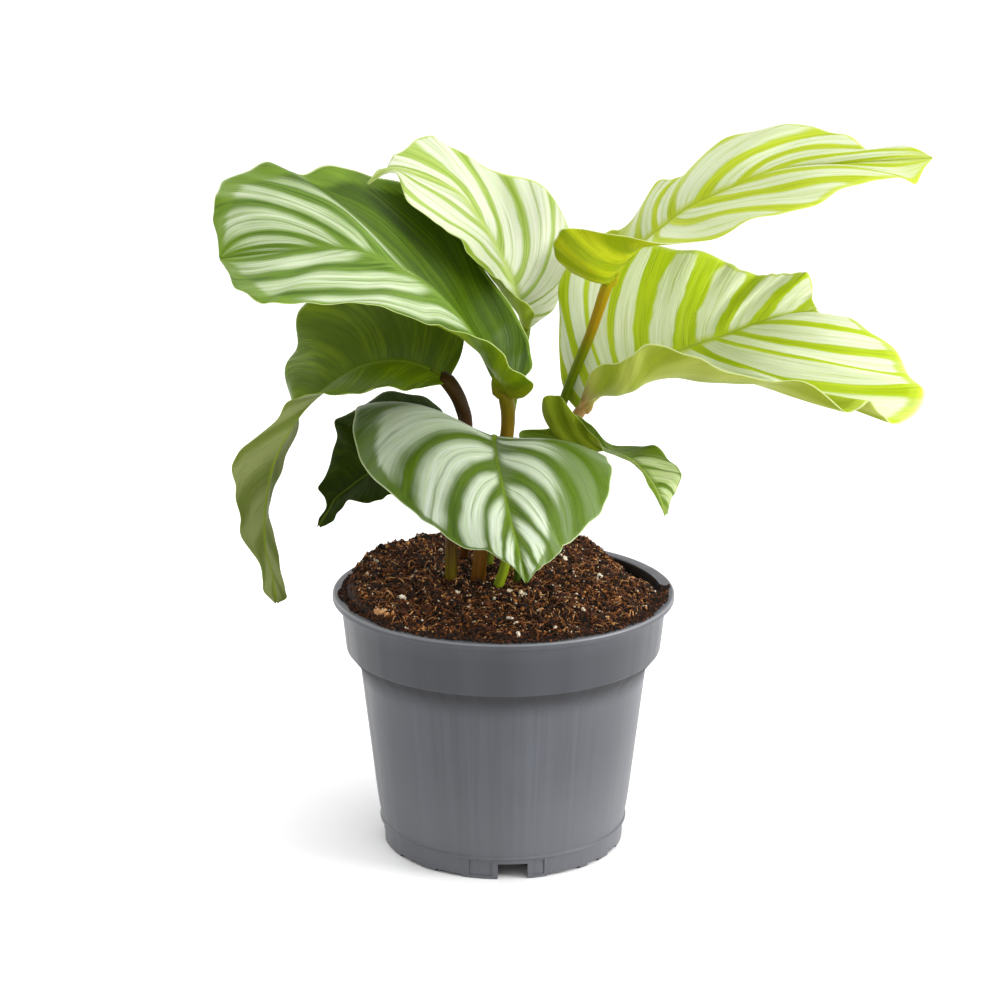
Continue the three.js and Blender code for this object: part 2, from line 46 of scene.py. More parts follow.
BASE_HALF_WIDTH = 2.5
TIP_HALF_WIDTH = 1.5
VEIN_SWEEP = 0.1
KEEL_DEPTH = 1.4
KEEL_HALF_WIDTH = 3
BLADE_HALF_THICKNESS = 0.28
FURROW_DEPTH = 0.13
FURROW_START = 6
GROOVE_DEPTH = 0.35
GROOVE_HALF_WIDTH = 1.3
FINE_WAVE_HEIGHT = 0.35
LEFT_WAVE_SHIFT = 2
BLADE_ROWS = 150
BLADE_COLUMNS_PER_HALF = 30


def both(value):
    """The same value for both halves of a blade."""
    return {"left": value, "right": value}


# midrib, left and right: points of the midrib and of the two edges, from the base to the tip.
# belly: how far each half bulges, from base to tip, in shares of its width.
# waves: how many waves run along the edge, how high they are and at which turn they start.
# foot: where the stem leaves the soil. path: points between there and the blade.
# standoff: how far before the blade the CAD's stem ends. radii: the stem's, from foot to blade.
LEAVES = {
    "upper_left": {
        "midrib": [
            [1, 0, 229], [-5, -3, 240], [-11, -7, 253], [-20, -13, 269], [-34, -21, 286], [-49, -28, 297],
            [-65, -34, 306], [-84, -39, 309], [-102, -44, 308], [-131, -46, 305],
        ],
        "left": [
            [10, -7, 230], [14, -13, 237], [11, -20, 242], [4, -26, 249], [0, -34, 258], [-10, -43, 265],
            [-18, -52, 272], [-28, -60, 277], [-38, -69, 279], [-50, -76, 287], [-61, -83, 293],
            [-77, -88, 292], [-91, -91, 293], [-103, -91, 295], [-111, -89, 293], [-117, -84, 296],
            [-123, -75, 299], [-127, -62, 302],
        ],
        "right": [
            [8, 7, 234], [14, 12, 240], [13, 14, 247], [10, 14, 258], [3, 14, 270], [-9, 26, 287],
            [-20, 31, 302], [-35, 33, 319], [-53, 30, 330], [-67, 25, 334], [-82, 18, 337], [-94, 12, 336],
            [-103, 7, 339], [-112, 2, 342], [-121, -4, 339], [-131, -10, 338], [-134, -16, 334],
            [-136, -22, 329], [-137, -28, 322], [-134, -37, 315],
        ],
        "belly": {
            "left": [-0.2, -0.2, -0.12, -0.05, 0.05, 0.08],
            "right": [-0.1, -0.1, -0.08, 0.05, 0.08, 0.08],
        },
        "waves": (6, 1.8, 0.3), "foot": [-13, -9], "path": [[-10, -8, 160], [1, 1, 206]], "standoff": 2.3,
        "radii": [4.4, 3.3, 3.5],
    },
    "top": {
        "midrib": [
            [11, 45, 253], [9, 44, 259], [8, 42, 265], [6, 39, 273], [2, 36, 283], [-4, 31, 297],
            [-12, 27, 311], [-24, 22, 326], [-53, 14, 338], [-65, 11, 331],
        ],
        "left": [
            [14, 36, 258], [15, 33, 262], [13, 30, 266], [9, 27, 271], [3, 23, 276], [-2, 19, 281],
            [-7, 13, 287], [-12, 10, 293], [-19, 7, 298], [-22, 5, 305], [-28, 1, 311], [-35, 1, 315],
            [-46, 3, 323], [-49, 6, 329], [-52, 11, 336], [-58, 11, 335],
        ],
        "right": [
            [20, 49, 257], [26, 52, 262], [29, 55, 275], [35, 56, 289], [29, 56, 309], [21, 54, 322],
            [7, 52, 327], [-6, 48, 332], [-18, 44, 340], [-29, 40, 345], [-36, 36, 350], [-43, 31, 349],
            [-52, 22, 344], [-55, 19, 341], [-57, 16, 338], [-61, 13, 337],
        ],
        "belly": {"left": [-0.32, -0.3, -0.03, -0.05, 0.05], "right": [0.05, 0.08, 0.08, 0.05, 0]},
        "waves": (5, 1.2, 1.1), "foot": [-9, 14], "path": [[-3, 20, 170], [3, 30, 211]], "standoff": 1.7,
        "radii": [2.8, 2.4, 2.4],
    },
    "upper_right": {
        "midrib": [
            [50, 5, 283], [53, 5, 288], [58, 6, 294], [68, 7, 304], [77, 9, 311], [89, 11, 320],
            [109, 13, 329], [130, 15, 337], [162, 17, 340], [205, 17, 343],
        ],
        "left": [
            [48, 15, 294], [47, 22, 302], [52, 26, 306], [56, 29, 306], [66, 32, 314], [74, 35, 326],
            [81, 38, 330], [91, 41, 333], [107, 42, 346], [127, 42, 353], [143, 41, 357], [156, 38, 353],
            [168, 34, 350], [177, 30, 345], [185, 26, 346], [192, 22, 348], [199, 19, 347],
        ],
        "right": [
            [40, -3, 289], [32, -9, 292], [26, -14, 298], [23, -17, 305], [24, -21, 311], [27, -24, 316],
            [38, -27, 315], [55, -30, 313], [74, -29, 311], [97, -26, 311], [116, -22, 318],
            [132, -17, 322], [147, -12, 326], [160, -6, 331], [172, -1, 333], [182, 3, 335], [193, 7, 333],
            [200, 12, 337],
        ],
        "belly": {"left": [0, 0.05, 0.1, 0.1, 0.05], "right": [-0.35, -0.3, -0.05, 0.1, 0.05]},
        "waves": (5, 1.6, 2.2), "foot": [6, 17], "path": [[16, 17, 172], [29, 16, 221], [42, 10, 257]],
        "standoff": 1.4, "radii": [2.7, 2.2, 2.7],
    },
    "right": {
        "midrib": [
            [38, 14, 218], [43, 13, 223], [50, 13, 229], [59, 13, 235], [72, 13, 242], [88, 14, 249],
            [96, 14, 252], [102, 14, 254], [109, 15, 256], [124, 15, 262], [140, 16, 266], [152, 16, 268],
        ],
        "left": [
            [31, 19, 224], [28, 23, 236], [27, 29, 261], [28, 33, 281], [40, 36, 293], [61, 37, 298],
            [84, 38, 294], [99, 37, 293], [109, 36, 289], [116, 34, 285], [123, 33, 283], [129, 32, 283],
            [134, 31, 283], [139, 30, 284], [146, 27, 285], [150, 25, 284], [151, 21, 278], [151, 18, 273],
        ],
        "right": [
            [38, 5, 227], [39, -3, 234], [41, -11, 242], [47, -18, 248], [52, -25, 251], [57, -29, 255],
            [63, -33, 258], [70, -35, 262], [79, -38, 262], [91, -41, 258], [106, -45, 250],
            [127, -47, 246], [153, -48, 239], [167, -48, 234], [179, -46, 230], [185, -44, 227],
            [195, -39, 231], [200, -33, 239], [193, -25, 246], [187, -16, 257], [177, -8, 262],
            [168, -1, 267], [160, 6, 266], [156, 11, 266],
        ],
        "belly": {"left": [0.05, 0.05, 0.05, 0.05, 0], "right": [0.05, -0.22, -0.15, 0.05, 0.1, 0.05]},
        "waves": (7, 1.8, 0.8), "foot": [2, 2], "path": [[10, 5, 166], [24, 10, 196]], "standoff": 1.2,
        "radii": [2.9, 2.4, 2.8],
    },
    "front": {
        "midrib": [
            [-5, -12, 211], [-4, -24, 208], [-3, -38, 204], [-1, -54, 200], [1, -70, 195], [4, -85, 187],
            [7, -97, 179], [10, -106, 168],
        ],
        "left": [
            [19, -12, 208], [37, -16, 207], [48, -25, 206], [51, -37, 202], [50, -52, 195], [44, -67, 187],
            [36, -79, 183], [29, -87, 180], [25, -94, 177], [19, -100, 174], [15, -104, 172],
        ],
        "right": [
            [-41, -3, 218], [-68, 0, 224], [-73, -10, 219], [-71, -26, 211], [-66, -41, 202],
            [-54, -56, 195], [-43, -69, 191], [-34, -80, 186], [-25, -88, 182], [-15, -95, 180],
            [-8, -100, 180], [-2, -104, 178], [5, -106, 174],
        ],
        "belly": {"left": [0.1, 0.12, 0.12, 0.08], "right": [0.1, 0.14, 0.14, 0.08]},
        "waves": (5, 1.3, 1.7), "foot": [-5, -16], "path": [[1, -15, 149], [0, -14, 172], [-4, -11, 196]],
        "standoff": 2.5, "radii": [3, 2.4, 2.6],
    },
    "left": {
        "midrib": [
            [-28, 0, 237], [-36, -4, 243], [-51, -8, 248], [-69, -12, 246], [-86, -16, 236],
            [-100, -18, 222], [-111, -18, 201], [-116, -16, 178], [-117, -14, 157], [-114, -12, 141],
            [-112, -12, 127],
        ],
        "left": [
            [-36, -11, 236], [-42, -19, 237], [-49, -26, 237], [-57, -31, 241], [-64, -36, 241],
            [-72, -41, 239], [-81, -44, 239], [-89, -46, 242], [-96, -46, 240], [-101, -44, 235],
            [-108, -40, 226], [-121, -35, 216], [-128, -31, 206], [-130, -28, 196], [-130, -25, 186],
            [-128, -23, 173], [-127, -22, 162], [-120, -21, 151], [-118, -20, 141], [-118, -17, 134],
        ],
        "right": [
            [-21, 14, 246], [-20, 24, 256], [-26, 33, 267], [-39, 37, 276], [-61, 37, 280], [-81, 34, 277],
            [-100, 27, 265], [-103, 20, 250], [-108, 12, 237], [-100, 7, 214], [-109, 4, 195],
            [-113, 2, 181], [-115, 2, 168], [-114, 1, 155], [-111, -1, 143], [-108, -3, 131],
            [-108, -7, 127],
        ],
        "belly": {"left": [-0.1, -0.15, -0.1, 0.1, 0.1, 0.1], "right": [-0.05, -0.05, 0, 0.05, 0.1, 0.1]},
        "waves": (6, 1.5, 0.1), "foot": [-26, -7], "path": [[-25, -2, 166], [-19, 2, 208], [-21, 1, 224]],
        "standoff": 2, "radii": [2.8, 3.2, 3.7],
    },
    "small_left": {
        "midrib": [
            [-18, 12, 203], [-27, 14, 203], [-39, 16, 199], [-53, 18, 192], [-67, 19, 184], [-78, 18, 176],
            [-84, 17, 171], [-88, 14, 165], [-92, 12, 159],
        ],
        "left": [
            [-24, 9, 195], [-30, 6, 188], [-38, 3, 182], [-48, 2, 178], [-56, 2, 177], [-64, 3, 174],
            [-72, 6, 173], [-77, 10, 172], [-82, 10, 167], [-86, 10, 161],
        ],
        "right": [
            [-24, 21, 207], [-28, 27, 209], [-32, 33, 214], [-38, 37, 218], [-47, 40, 219], [-57, 42, 221],
            [-66, 42, 217], [-76, 39, 211], [-84, 36, 207], [-84, 33, 200], [-86, 28, 192], [-89, 23, 182],
            [-93, 21, 176], [-89, 18, 171], [-89, 16, 167], [-92, 13, 162],
        ],
        "belly": both([0.05, 0.05]), "waves": (4, 1, 0.6), "foot": [-20, 25],
        "path": [[-19, 18, 160], [-14, 14, 191]], "standoff": 3.3, "radii": [2.4, 2.2, 2.4],
    },
    "small_right": {
        "midrib": [
            [34, 4, 199], [38, 3, 201], [43, 2, 201], [49, 1, 202], [54, -2, 201], [61, -6, 199],
            [67, -12, 195], [73, -18, 188], [76, -22, 182], [78, -25, 176],
        ],
        "left": [
            [12, 7, 201], [8, 7, 209], [22, 5, 211], [34, 5, 218], [42, 6, 213], [49, 6, 206], [57, 6, 202],
            [68, 5, 202], [75, 3, 202], [80, 0, 198], [85, -3, 194], [87, -8, 191], [84, -14, 185],
            [81, -19, 181],
        ],
        "right": [
            [20, 2, 216], [19, 0, 227], [25, -2, 230], [29, -5, 228], [34, -8, 221], [40, -10, 215],
            [46, -13, 210], [49, -15, 206], [55, -18, 203], [62, -22, 201], [67, -23, 195], [71, -24, 189],
            [74, -25, 184], [76, -26, 180],
        ],
        "belly": {"left": [-0.1, -0.1, 0, 0.05], "right": [-0.15, -0.12, 0, 0.05]}, "waves": (3, 0.8, 1.3),
        "foot": [7, -10], "path": [[8, -9, 145], [14, -4, 162], [26, 3, 186]], "standoff": 2.7,
        "radii": [2.6, 2.2, 2.4],
    },
}


# How much more light than a white sheet needs falls on a surface that faces up.
STUDIO_LIGHT = 1.3


def colour(red, green, blue):
    """The share of light that a surface returns to look so, 0 to 255, in the studio's light."""
    shown = (c / 255 for c in (red, green, blue))
    return tuple((c / 12.92 if c <= 0.04 else ((c + 0.055) / 1.055) ** 2.4) / STUDIO_LIGHT for c in shown)


# ---- How each blade is marked ----

# veins: for each half, where a dark stripe leaves the midrib and where it meets the edge, as shares
# of the blade's length, and how wide it is. curve below 1 bends the veins towards the tip early on.
# silver: for each half, between which stripes, counted from 0, the pale bands fade in.
# green_edge: for each half, where the green edge starts on the way out, at even steps from base to tip.
# flare: how much a stripe widens at the midrib and at the edge, in shares of the way to the next stripe.
# middle: how strong the fine stripe half-way between two dark ones is. The colours are as they look, so a
# leaf in shadow or with light shining through it has painted shade or light, as noted at that leaf.
ALL_SILVER = (-6, -5)
NO_SILVER = (90, 91)
PAIRED_TINTS = ("pale", "stripe", "ground", "under")
SINGLE_TINTS = ("margin", "rim", "rib", "base")
LOOKS = {
    "upper_left": {
        "veins": {
            "left": [
                (0.02, 0.14, 1), (0.13, 0.33, 1), (0.24, 0.52, 1), (0.363, 0.789, 0.9), (0.587, 0.926, 1.1),
                (0.8, 1.06, 1),
            ],
            "right": [
                (-0.18, 0.19, 1), (-0.1, 0.33, 1), (-0.035, 0.5, 1.2), (0.187, 0.597, 1.2),
                (0.454, 0.699, 0.6), (0.6, 0.77, 1.3), (0.693, 0.882, 0.9), (0.76, 1.1, 0.8),
            ],
        },
        # On the right half the pale bands stay away from the base, partly the leaf's own pattern and partly
        # painted shade, as that part lies in shadow.
        "silver": {"left": (1.3, 2.8), "right": (3.9, 5.2)},
        "green_edge": {
            "left": [0.95, 0.95, 0.95, 0.93, 0.88, 0.78, 0.5],
            "right": [0.9, 0.9, 0.9, 0.8, 0.72, 0.72, 0.5],
        },
        "pale": ((208, 220, 186), (156, 178, 118)), "stripe": ((112, 144, 44), (72, 104, 12)),
        "ground": ((88, 118, 0), (56, 82, 0)), "under": ((120, 144, 2), (90, 116, 0)),
        "margin": (118, 150, 30), "rim": (200, 214, 140), "rib": (104, 134, 40), "base": (136, 140, 20),
        "slot": "leaf_silver_green", "curve": 0.9, "stripe_width": 0.18, "stripe_blur": 0.1,
        "flare": (0.14, 0.12), "middle": 0.45, "specular": 0.14,
    },
    "top": {
        "veins": {
            "left": [
                (0.05, 0.35, 1), (0.2, 0.6, 1), (0.385, 0.86, 0.9), (0.595, 1.13, 0.9), (0.78, 1.35, 0.9),
            ],
            "right": [
                (0.1, 0.1, 0.8), (0.202, 0.218, 0.8), (0.261, 0.336, 0.8), (0.368, 0.45, 1),
                (0.53, 0.548, 1), (0.663, 0.753, 1.4), (0.8, 0.9, 1),
            ],
        },
        "silver": {"left": (0.6, 1.6), "right": (-1.0, -0.4)}, "green_edge": both([0.96, 0.96]),
        "pale": ((232, 236, 214), (212, 222, 184)), "stripe": ((176, 198, 104), (146, 174, 62)),
        # The underside's own pale green is brightened to a yellow glow: painted light, of light coming
        # through the leaf.
        "ground": ((150, 176, 10), (124, 152, 6)), "under": ((158, 182, 44), (136, 162, 26)),
        "margin": (196, 214, 120), "rim": (216, 226, 150), "rib": (190, 208, 110), "base": (140, 160, 24),
        "slot": "leaf_silver_green", "curve": 1, "stripe_width": 0.13, "stripe_blur": 0.06,
        "flare": (0.06, 0.05), "middle": 0.5, "specular": 0.2,
    },
    "upper_right": {
        "veins": {
            "left": [
                (0.05, 0.1, 1), (0.18, 0.22, 1), (0.3, 0.34, 0.9), (0.4, 0.42, 1), (0.484, 0.477, 0.9),
                (0.589, 0.7, 1), (0.692, 0.78, 1.1), (0.76, 0.98, 0.9), (0.88, 1.08, 1),
            ],
            "right": [
                (0.0, 0.1, 1), (0.12, 0.2, 1), (0.24, 0.3, 1), (0.33, 0.42, 1), (0.415, 0.528, 0.9),
                (0.482, 0.673, 0.9), (0.561, 0.823, 1.3), (0.7, 0.94, 1), (0.85, 1.06, 1),
            ],
        },
        "silver": {"left": (0.9, 2.2), "right": (2.6, 4.0)},
        "green_edge": {"left": [0.94, 0.95, 0.95], "right": [0.94, 0.93, 0.9, 0.8]},
        "pale": ((220, 229, 194), (206, 219, 168)), "stripe": ((190, 206, 44), (170, 190, 16)),
        # The underside's own green is brightened to a yellow glow: painted light, of light coming through
        # the leaf.
        "ground": ((182, 194, 16), (154, 172, 6)), "under": ((182, 192, 16), (150, 168, 8)),
        "margin": (196, 212, 78), "rim": (218, 226, 150), "rib": (168, 188, 44), "base": (158, 166, 6),
        "slot": "leaf_yellow_green", "curve": 1, "stripe_width": 0.18, "stripe_blur": 0.06,
        "flare": (0.05, 0.07), "middle": 0.5, "specular": 0.15,
    },
    "right": {
        "veins": {
            "left": [
                (0.02, 0.12, 1), (0.114, 0.227, 1.5), (0.207, 0.279, 0.6), (0.261, 0.332, 0.8),
                (0.348, 0.349, 1.3), (0.453, 0.434, 1.3), (0.701, 0.601, 1.2), (0.815, 0.819, 1),
                (0.93, 0.95, 1),
            ],
            "right": [
                (0.02, 0.2, 1), (0.13, 0.36, 1), (0.25, 0.52, 1), (0.38, 0.64, 1.1), (0.5, 0.73, 1),
                (0.663, 0.755, 0.6), (0.748, 0.785, 1.0), (0.812, 0.825, 0.9), (0.9, 0.92, 1),
            ],
        },
        "silver": {"left": (-0.5, 0.6), "right": (2.4, 3.4)},
        "green_edge": {"left": [0.75, 0.93, 0.94, 0.94, 0.93], "right": [0.96, 0.95, 0.93, 0.9, 0.84]},
        # Painted light: all of this leaf's colours, upper and under, are brightened to the glow of light
        # shining through it from behind.
        "pale": ((244, 250, 220), (226, 238, 190)), "stripe": ((198, 219, 40), (176, 202, 4)),
        "ground": ((172, 190, 40), (152, 174, 22)), "under": ((180, 190, 84), (154, 168, 44)),
        "margin": (188, 208, 70), "rim": (222, 230, 160), "rib": (176, 198, 66), "base": (184, 146, 88),
        "slot": "leaf_yellow_green", "curve": 0.9, "stripe_width": 0.17, "stripe_blur": 0.04,
        "flare": (0.06, 0.06), "middle": 0.35, "specular": 0.15,
    },
    "front": {
        "veins": {
            "left": [
                (-0.42, 0.2, 1.4), (-0.15, 0.44, 1.2), (0.024, 0.6, 1.5), (0.328, 0.7, 1.6),
                (0.571, 0.79, 1), (0.75, 0.9, 1),
            ],
            "right": [
                (-0.42, 0.02, 0.8), (-0.12, 0.235, 0.9), (0.057, 0.477, 1.1), (0.267, 0.667, 1.4),
                (0.45, 0.81, 0.9), (0.64, 0.887, 0.9), (0.82, 0.95, 1),
            ],
        },
        "silver": both(ALL_SILVER),
        "green_edge": {
            "left": [0.0, 0.02, 0.12, 0.3, 0.62, 0.9], "right": [0.3, 0.62, 0.86, 0.92, 0.93, 0.92],
        },
        "pale": ((220, 230, 210), (192, 208, 172)), "stripe": ((90, 118, 20), (60, 86, 0)),
        "ground": ((92, 122, 6), (66, 94, 0)), "under": ((112, 132, 54), (84, 106, 30)),
        "margin": (80, 108, 10), "rim": (200, 212, 164), "rib": (118, 146, 20), "base": (120, 140, 20),
        "slot": "leaf_silver_green", "curve": 0.6, "stripe_width": 0.15, "stripe_blur": 0.14,
        "flare": (0.12, 0.1), "middle": 0.4, "specular": 0.2,
    },
    "left": {
        "veins": {
            "left": [
                (0.0, 0.08, 1), (0.12, 0.22, 1), (0.24, 0.36, 1), (0.36, 0.48, 1), (0.48, 0.62, 1),
                (0.62, 0.76, 1), (0.78, 0.92, 1),
            ],
            "right": [
                (0.0, 0.08, 1), (0.1, 0.2, 1), (0.2, 0.32, 1), (0.3, 0.42, 1), (0.4, 0.54, 1),
                (0.54, 0.68, 1), (0.7, 0.82, 1), (0.84, 0.96, 1),
            ],
        },
        "silver": both(NO_SILVER), "green_edge": both([0.94, 0.94]),
        "pale": ((150, 164, 96), (120, 138, 60)), "stripe": ((90, 114, 2), (68, 90, 0)),
        "ground": ((118, 142, 8), (82, 106, 0)), "under": ((131, 141, 84), (105, 118, 54)),
        "margin": (108, 134, 24), "rim": (150, 168, 70), "rib": (118, 138, 34), "base": (96, 84, 12),
        "slot": "leaf_dark_green", "curve": 0.8, "stripe_width": 0.18, "stripe_blur": 0.14,
        "flare": (0.06, 0.06), "middle": 0.5, "specular": 0.08,
    },
    "small_left": {
        "veins": both([(0.0, 0.1, 1), (0.2, 0.34, 1), (0.42, 0.56, 1), (0.64, 0.78, 1), (0.86, 0.98, 1)]),
        # Painted shade: this leaf lies in shadow, so all its colours are dark and its pale bands are left
        # out.
        "silver": both(NO_SILVER), "green_edge": both([0.94, 0.94]),
        "pale": ((96, 116, 60), (70, 90, 30)), "stripe": ((38, 52, 2), (28, 40, 0)),
        "ground": ((52, 70, 4), (36, 50, 1)), "under": ((64, 82, 20), (48, 64, 8)), "margin": (54, 72, 6),
        "rim": (84, 104, 24), "rib": (92, 112, 26), "base": (66, 70, 8),
        "slot": "leaf_dark_green", "curve": 0.8, "stripe_width": 0.18, "stripe_blur": 0.14,
        "flare": (0.05, 0.05), "middle": 0.5, "specular": 0.06,
    },
    "small_right": {
        "veins": {
            "left": [
                (0.0, 0.06, 1), (0.16, 0.22, 1), (0.32, 0.38, 1), (0.44, 0.56, 0.5), (0.54, 0.7, 0.4),
                (0.64, 0.8, 0.4), (0.76, 0.9, 0.6),
            ],
            "right": [
                (0.0, 0.06, 1), (0.16, 0.22, 1), (0.32, 0.38, 1), (0.46, 0.54, 1), (0.62, 0.74, 1),
                (0.8, 0.92, 1),
            ],
        },
        "silver": {"left": (3.2, 5.0), "right": NO_SILVER}, "green_edge": both([0.9, 0.9]),
        "pale": ((204, 217, 168), (170, 190, 112)), "stripe": ((110, 138, 44), (84, 112, 20)),
        "ground": ((112, 136, 30), (86, 110, 14)), "under": ((140, 158, 32), (112, 132, 12)),
        "margin": (134, 158, 60), "rim": (172, 190, 104), "rib": (160, 178, 86), "base": (110, 124, 18),
        "slot": "leaf_dark_green", "curve": 0.8, "stripe_width": 0.12, "stripe_blur": 0.07,
        "flare": (0.1, 0.08), "middle": 0.4, "specular": 0.1,
    },
}

# Colours along each stem, from its foot to the blade, as they look.
STEMS = {
    "upper_left": [
        (0.0, (128, 126, 14)), (0.2, (124, 80, 14)), (0.55, (112, 76, 0)), (0.8, (122, 98, 0)),
        (0.95, (124, 120, 2)), (1.0, (112, 136, 0)),
    ],
    "top": [(0.0, (96, 108, 20)), (0.6, (108, 128, 22)), (1.0, (128, 154, 34))],
    "upper_right": [
        (0.0, (100, 122, 14)), (0.66, (96, 120, 2)), (0.76, (122, 132, 6)), (0.84, (176, 142, 18)),
        (0.92, (184, 154, 14)), (1.0, (178, 182, 14)),
    ],
    "right": [
        (0.0, (114, 118, 24)), (0.6, (140, 116, 36)), (0.84, (182, 138, 80)), (0.95, (190, 152, 92)),
        (1.0, (186, 170, 80)),
    ],
    "front": [(0.0, (158, 176, 30)), (0.45, (134, 156, 22)), (1.0, (118, 144, 24))],
    "left": [
        (0.0, (146, 148, 26)), (0.2, (128, 114, 10)), (0.36, (88, 56, 4)), (0.8, (58, 36, 0)),
        (0.94, (66, 46, 0)), (1.0, (84, 78, 0)),
    ],
    "small_left": [(0.0, (128, 84, 44)), (0.3, (120, 72, 34)), (0.6, (96, 82, 20)), (1.0, (60, 70, 8))],
    "small_right": [(0.0, (70, 92, 14)), (0.6, (86, 110, 16)), (1.0, (104, 130, 22))],
}


# ---- Curves and grids ----

def curve_points(points, shares):
    """Points at shares, from 0 to 1, of a smooth curve through evenly spaced points."""
    points = np.asarray(points, float)
    if points.ndim == 1:
        points = points[:, None]
    padded = np.vstack([2 * points[0] - points[1], points, 2 * points[-1] - points[-2]])
    spans = len(points) - 1
    place = np.clip(np.asarray(shares, float) * spans, 0, spans - 1e-9)
    i = place.astype(int)
    t = (place - i)[:, None]
    p0, p1, p2, p3 = (padded[i + k] for k in range(4))
    return 0.5 * (
        2 * p1
        + (p2 - p0) * t
        + (2 * p0 - 5 * p1 + 4 * p2 - p3) * t**2
        + (3 * p1 - p0 - 3 * p2 + p3) * t**3
    )


def unit(vectors):
    """Each vector at length 1."""
    return vectors / (np.linalg.norm(vectors, axis=-1, keepdims=True) + 1e-12)


def smooth_step(low, high, values):
    """From 0 where a value is at low to 1 where it is at high, eased at both ends."""
    t = np.clip((values - low) / (high - low), 0, 1)
    return t * t * (3 - 2 * t)


def lattice_noise(x, y, seed, period=64):
    """Smooth noise from -1 to 1 with about one lump per unit."""
    table = np.random.default_rng(seed).uniform(-1, 1, (period, period))
    i, j = np.floor(x).astype(int), np.floor(y).astype(int)
    s, t = x - i, y - j
    s, t = s * s * (3 - 2 * s), t * t * (3 - 2 * t)

    def corner(a, b):
        return table[(i + a) % period, (j + b) % period]

    near = corner(0, 0) * (1 - s) + corner(1, 0) * s
    far = corner(0, 1) * (1 - s) + corner(1, 1) * s
    return near * (1 - t) + far * t


def grid_quads(rows, columns):
    """Corner numbers of the quads of a grid, as row and column."""
    i, j = np.meshgrid(np.arange(rows), np.arange(columns), indexing="ij")
    i, j = i.ravel(), j.ravel()
    return np.stack([i, i, i + 1, i + 1], 1), np.stack([j, j + 1, j + 1, j], 1)


def tube_faces(rings, corners):
    """The quads between rings of points, and one face that closes each end."""
    ring, corner = grid_quads(rings - 1, corners)
    ends = [list(range(corners))[::-1], [(rings - 1) * corners + k for k in range(corners)]]
    return ring * corners + corner % corners, ends


def make_object(name, vertices, faces, materials, smooth=True):
    """A mesh object, in metres, from vertices in millimetres."""
    mesh = bpy.data.meshes.new(name)
    faces = faces.tolist() if hasattr(faces, "tolist") else faces
    mesh.from_pydata((np.asarray(vertices) * MM).tolist(), [], faces)
    for material in materials:
        mesh.materials.append(material)
    mesh.polygons.foreach_set("use_smooth", [smooth] * len(mesh.polygons))
    mesh.update()
    piece = bpy.data.objects.new(name, mesh)
    bpy.context.scene.collection.objects.link(piece)
    return piece


def add_numbers(piece, name, values):
    """A number on each vertex that materials can read."""
    layer = piece.data.attributes.new(name, "FLOAT", "POINT")
    layer.data.foreach_set("value", np.asarray(values, np.float32).ravel())


def add_uv(piece, name, corners):
    """A flat place for each corner of each face."""
    layer = piece.data.uv_layers.new(name=name)
    layer.uv.foreach_set("vector", np.asarray(corners, np.float32).ravel())


def settle(piece, slot, *nodes):
    """The piece rides on the plant's body and stands for nodes; its slot is not used."""
    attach(piece, "root")
    if nodes:
        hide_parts(*nodes)


# ---- Materials ----

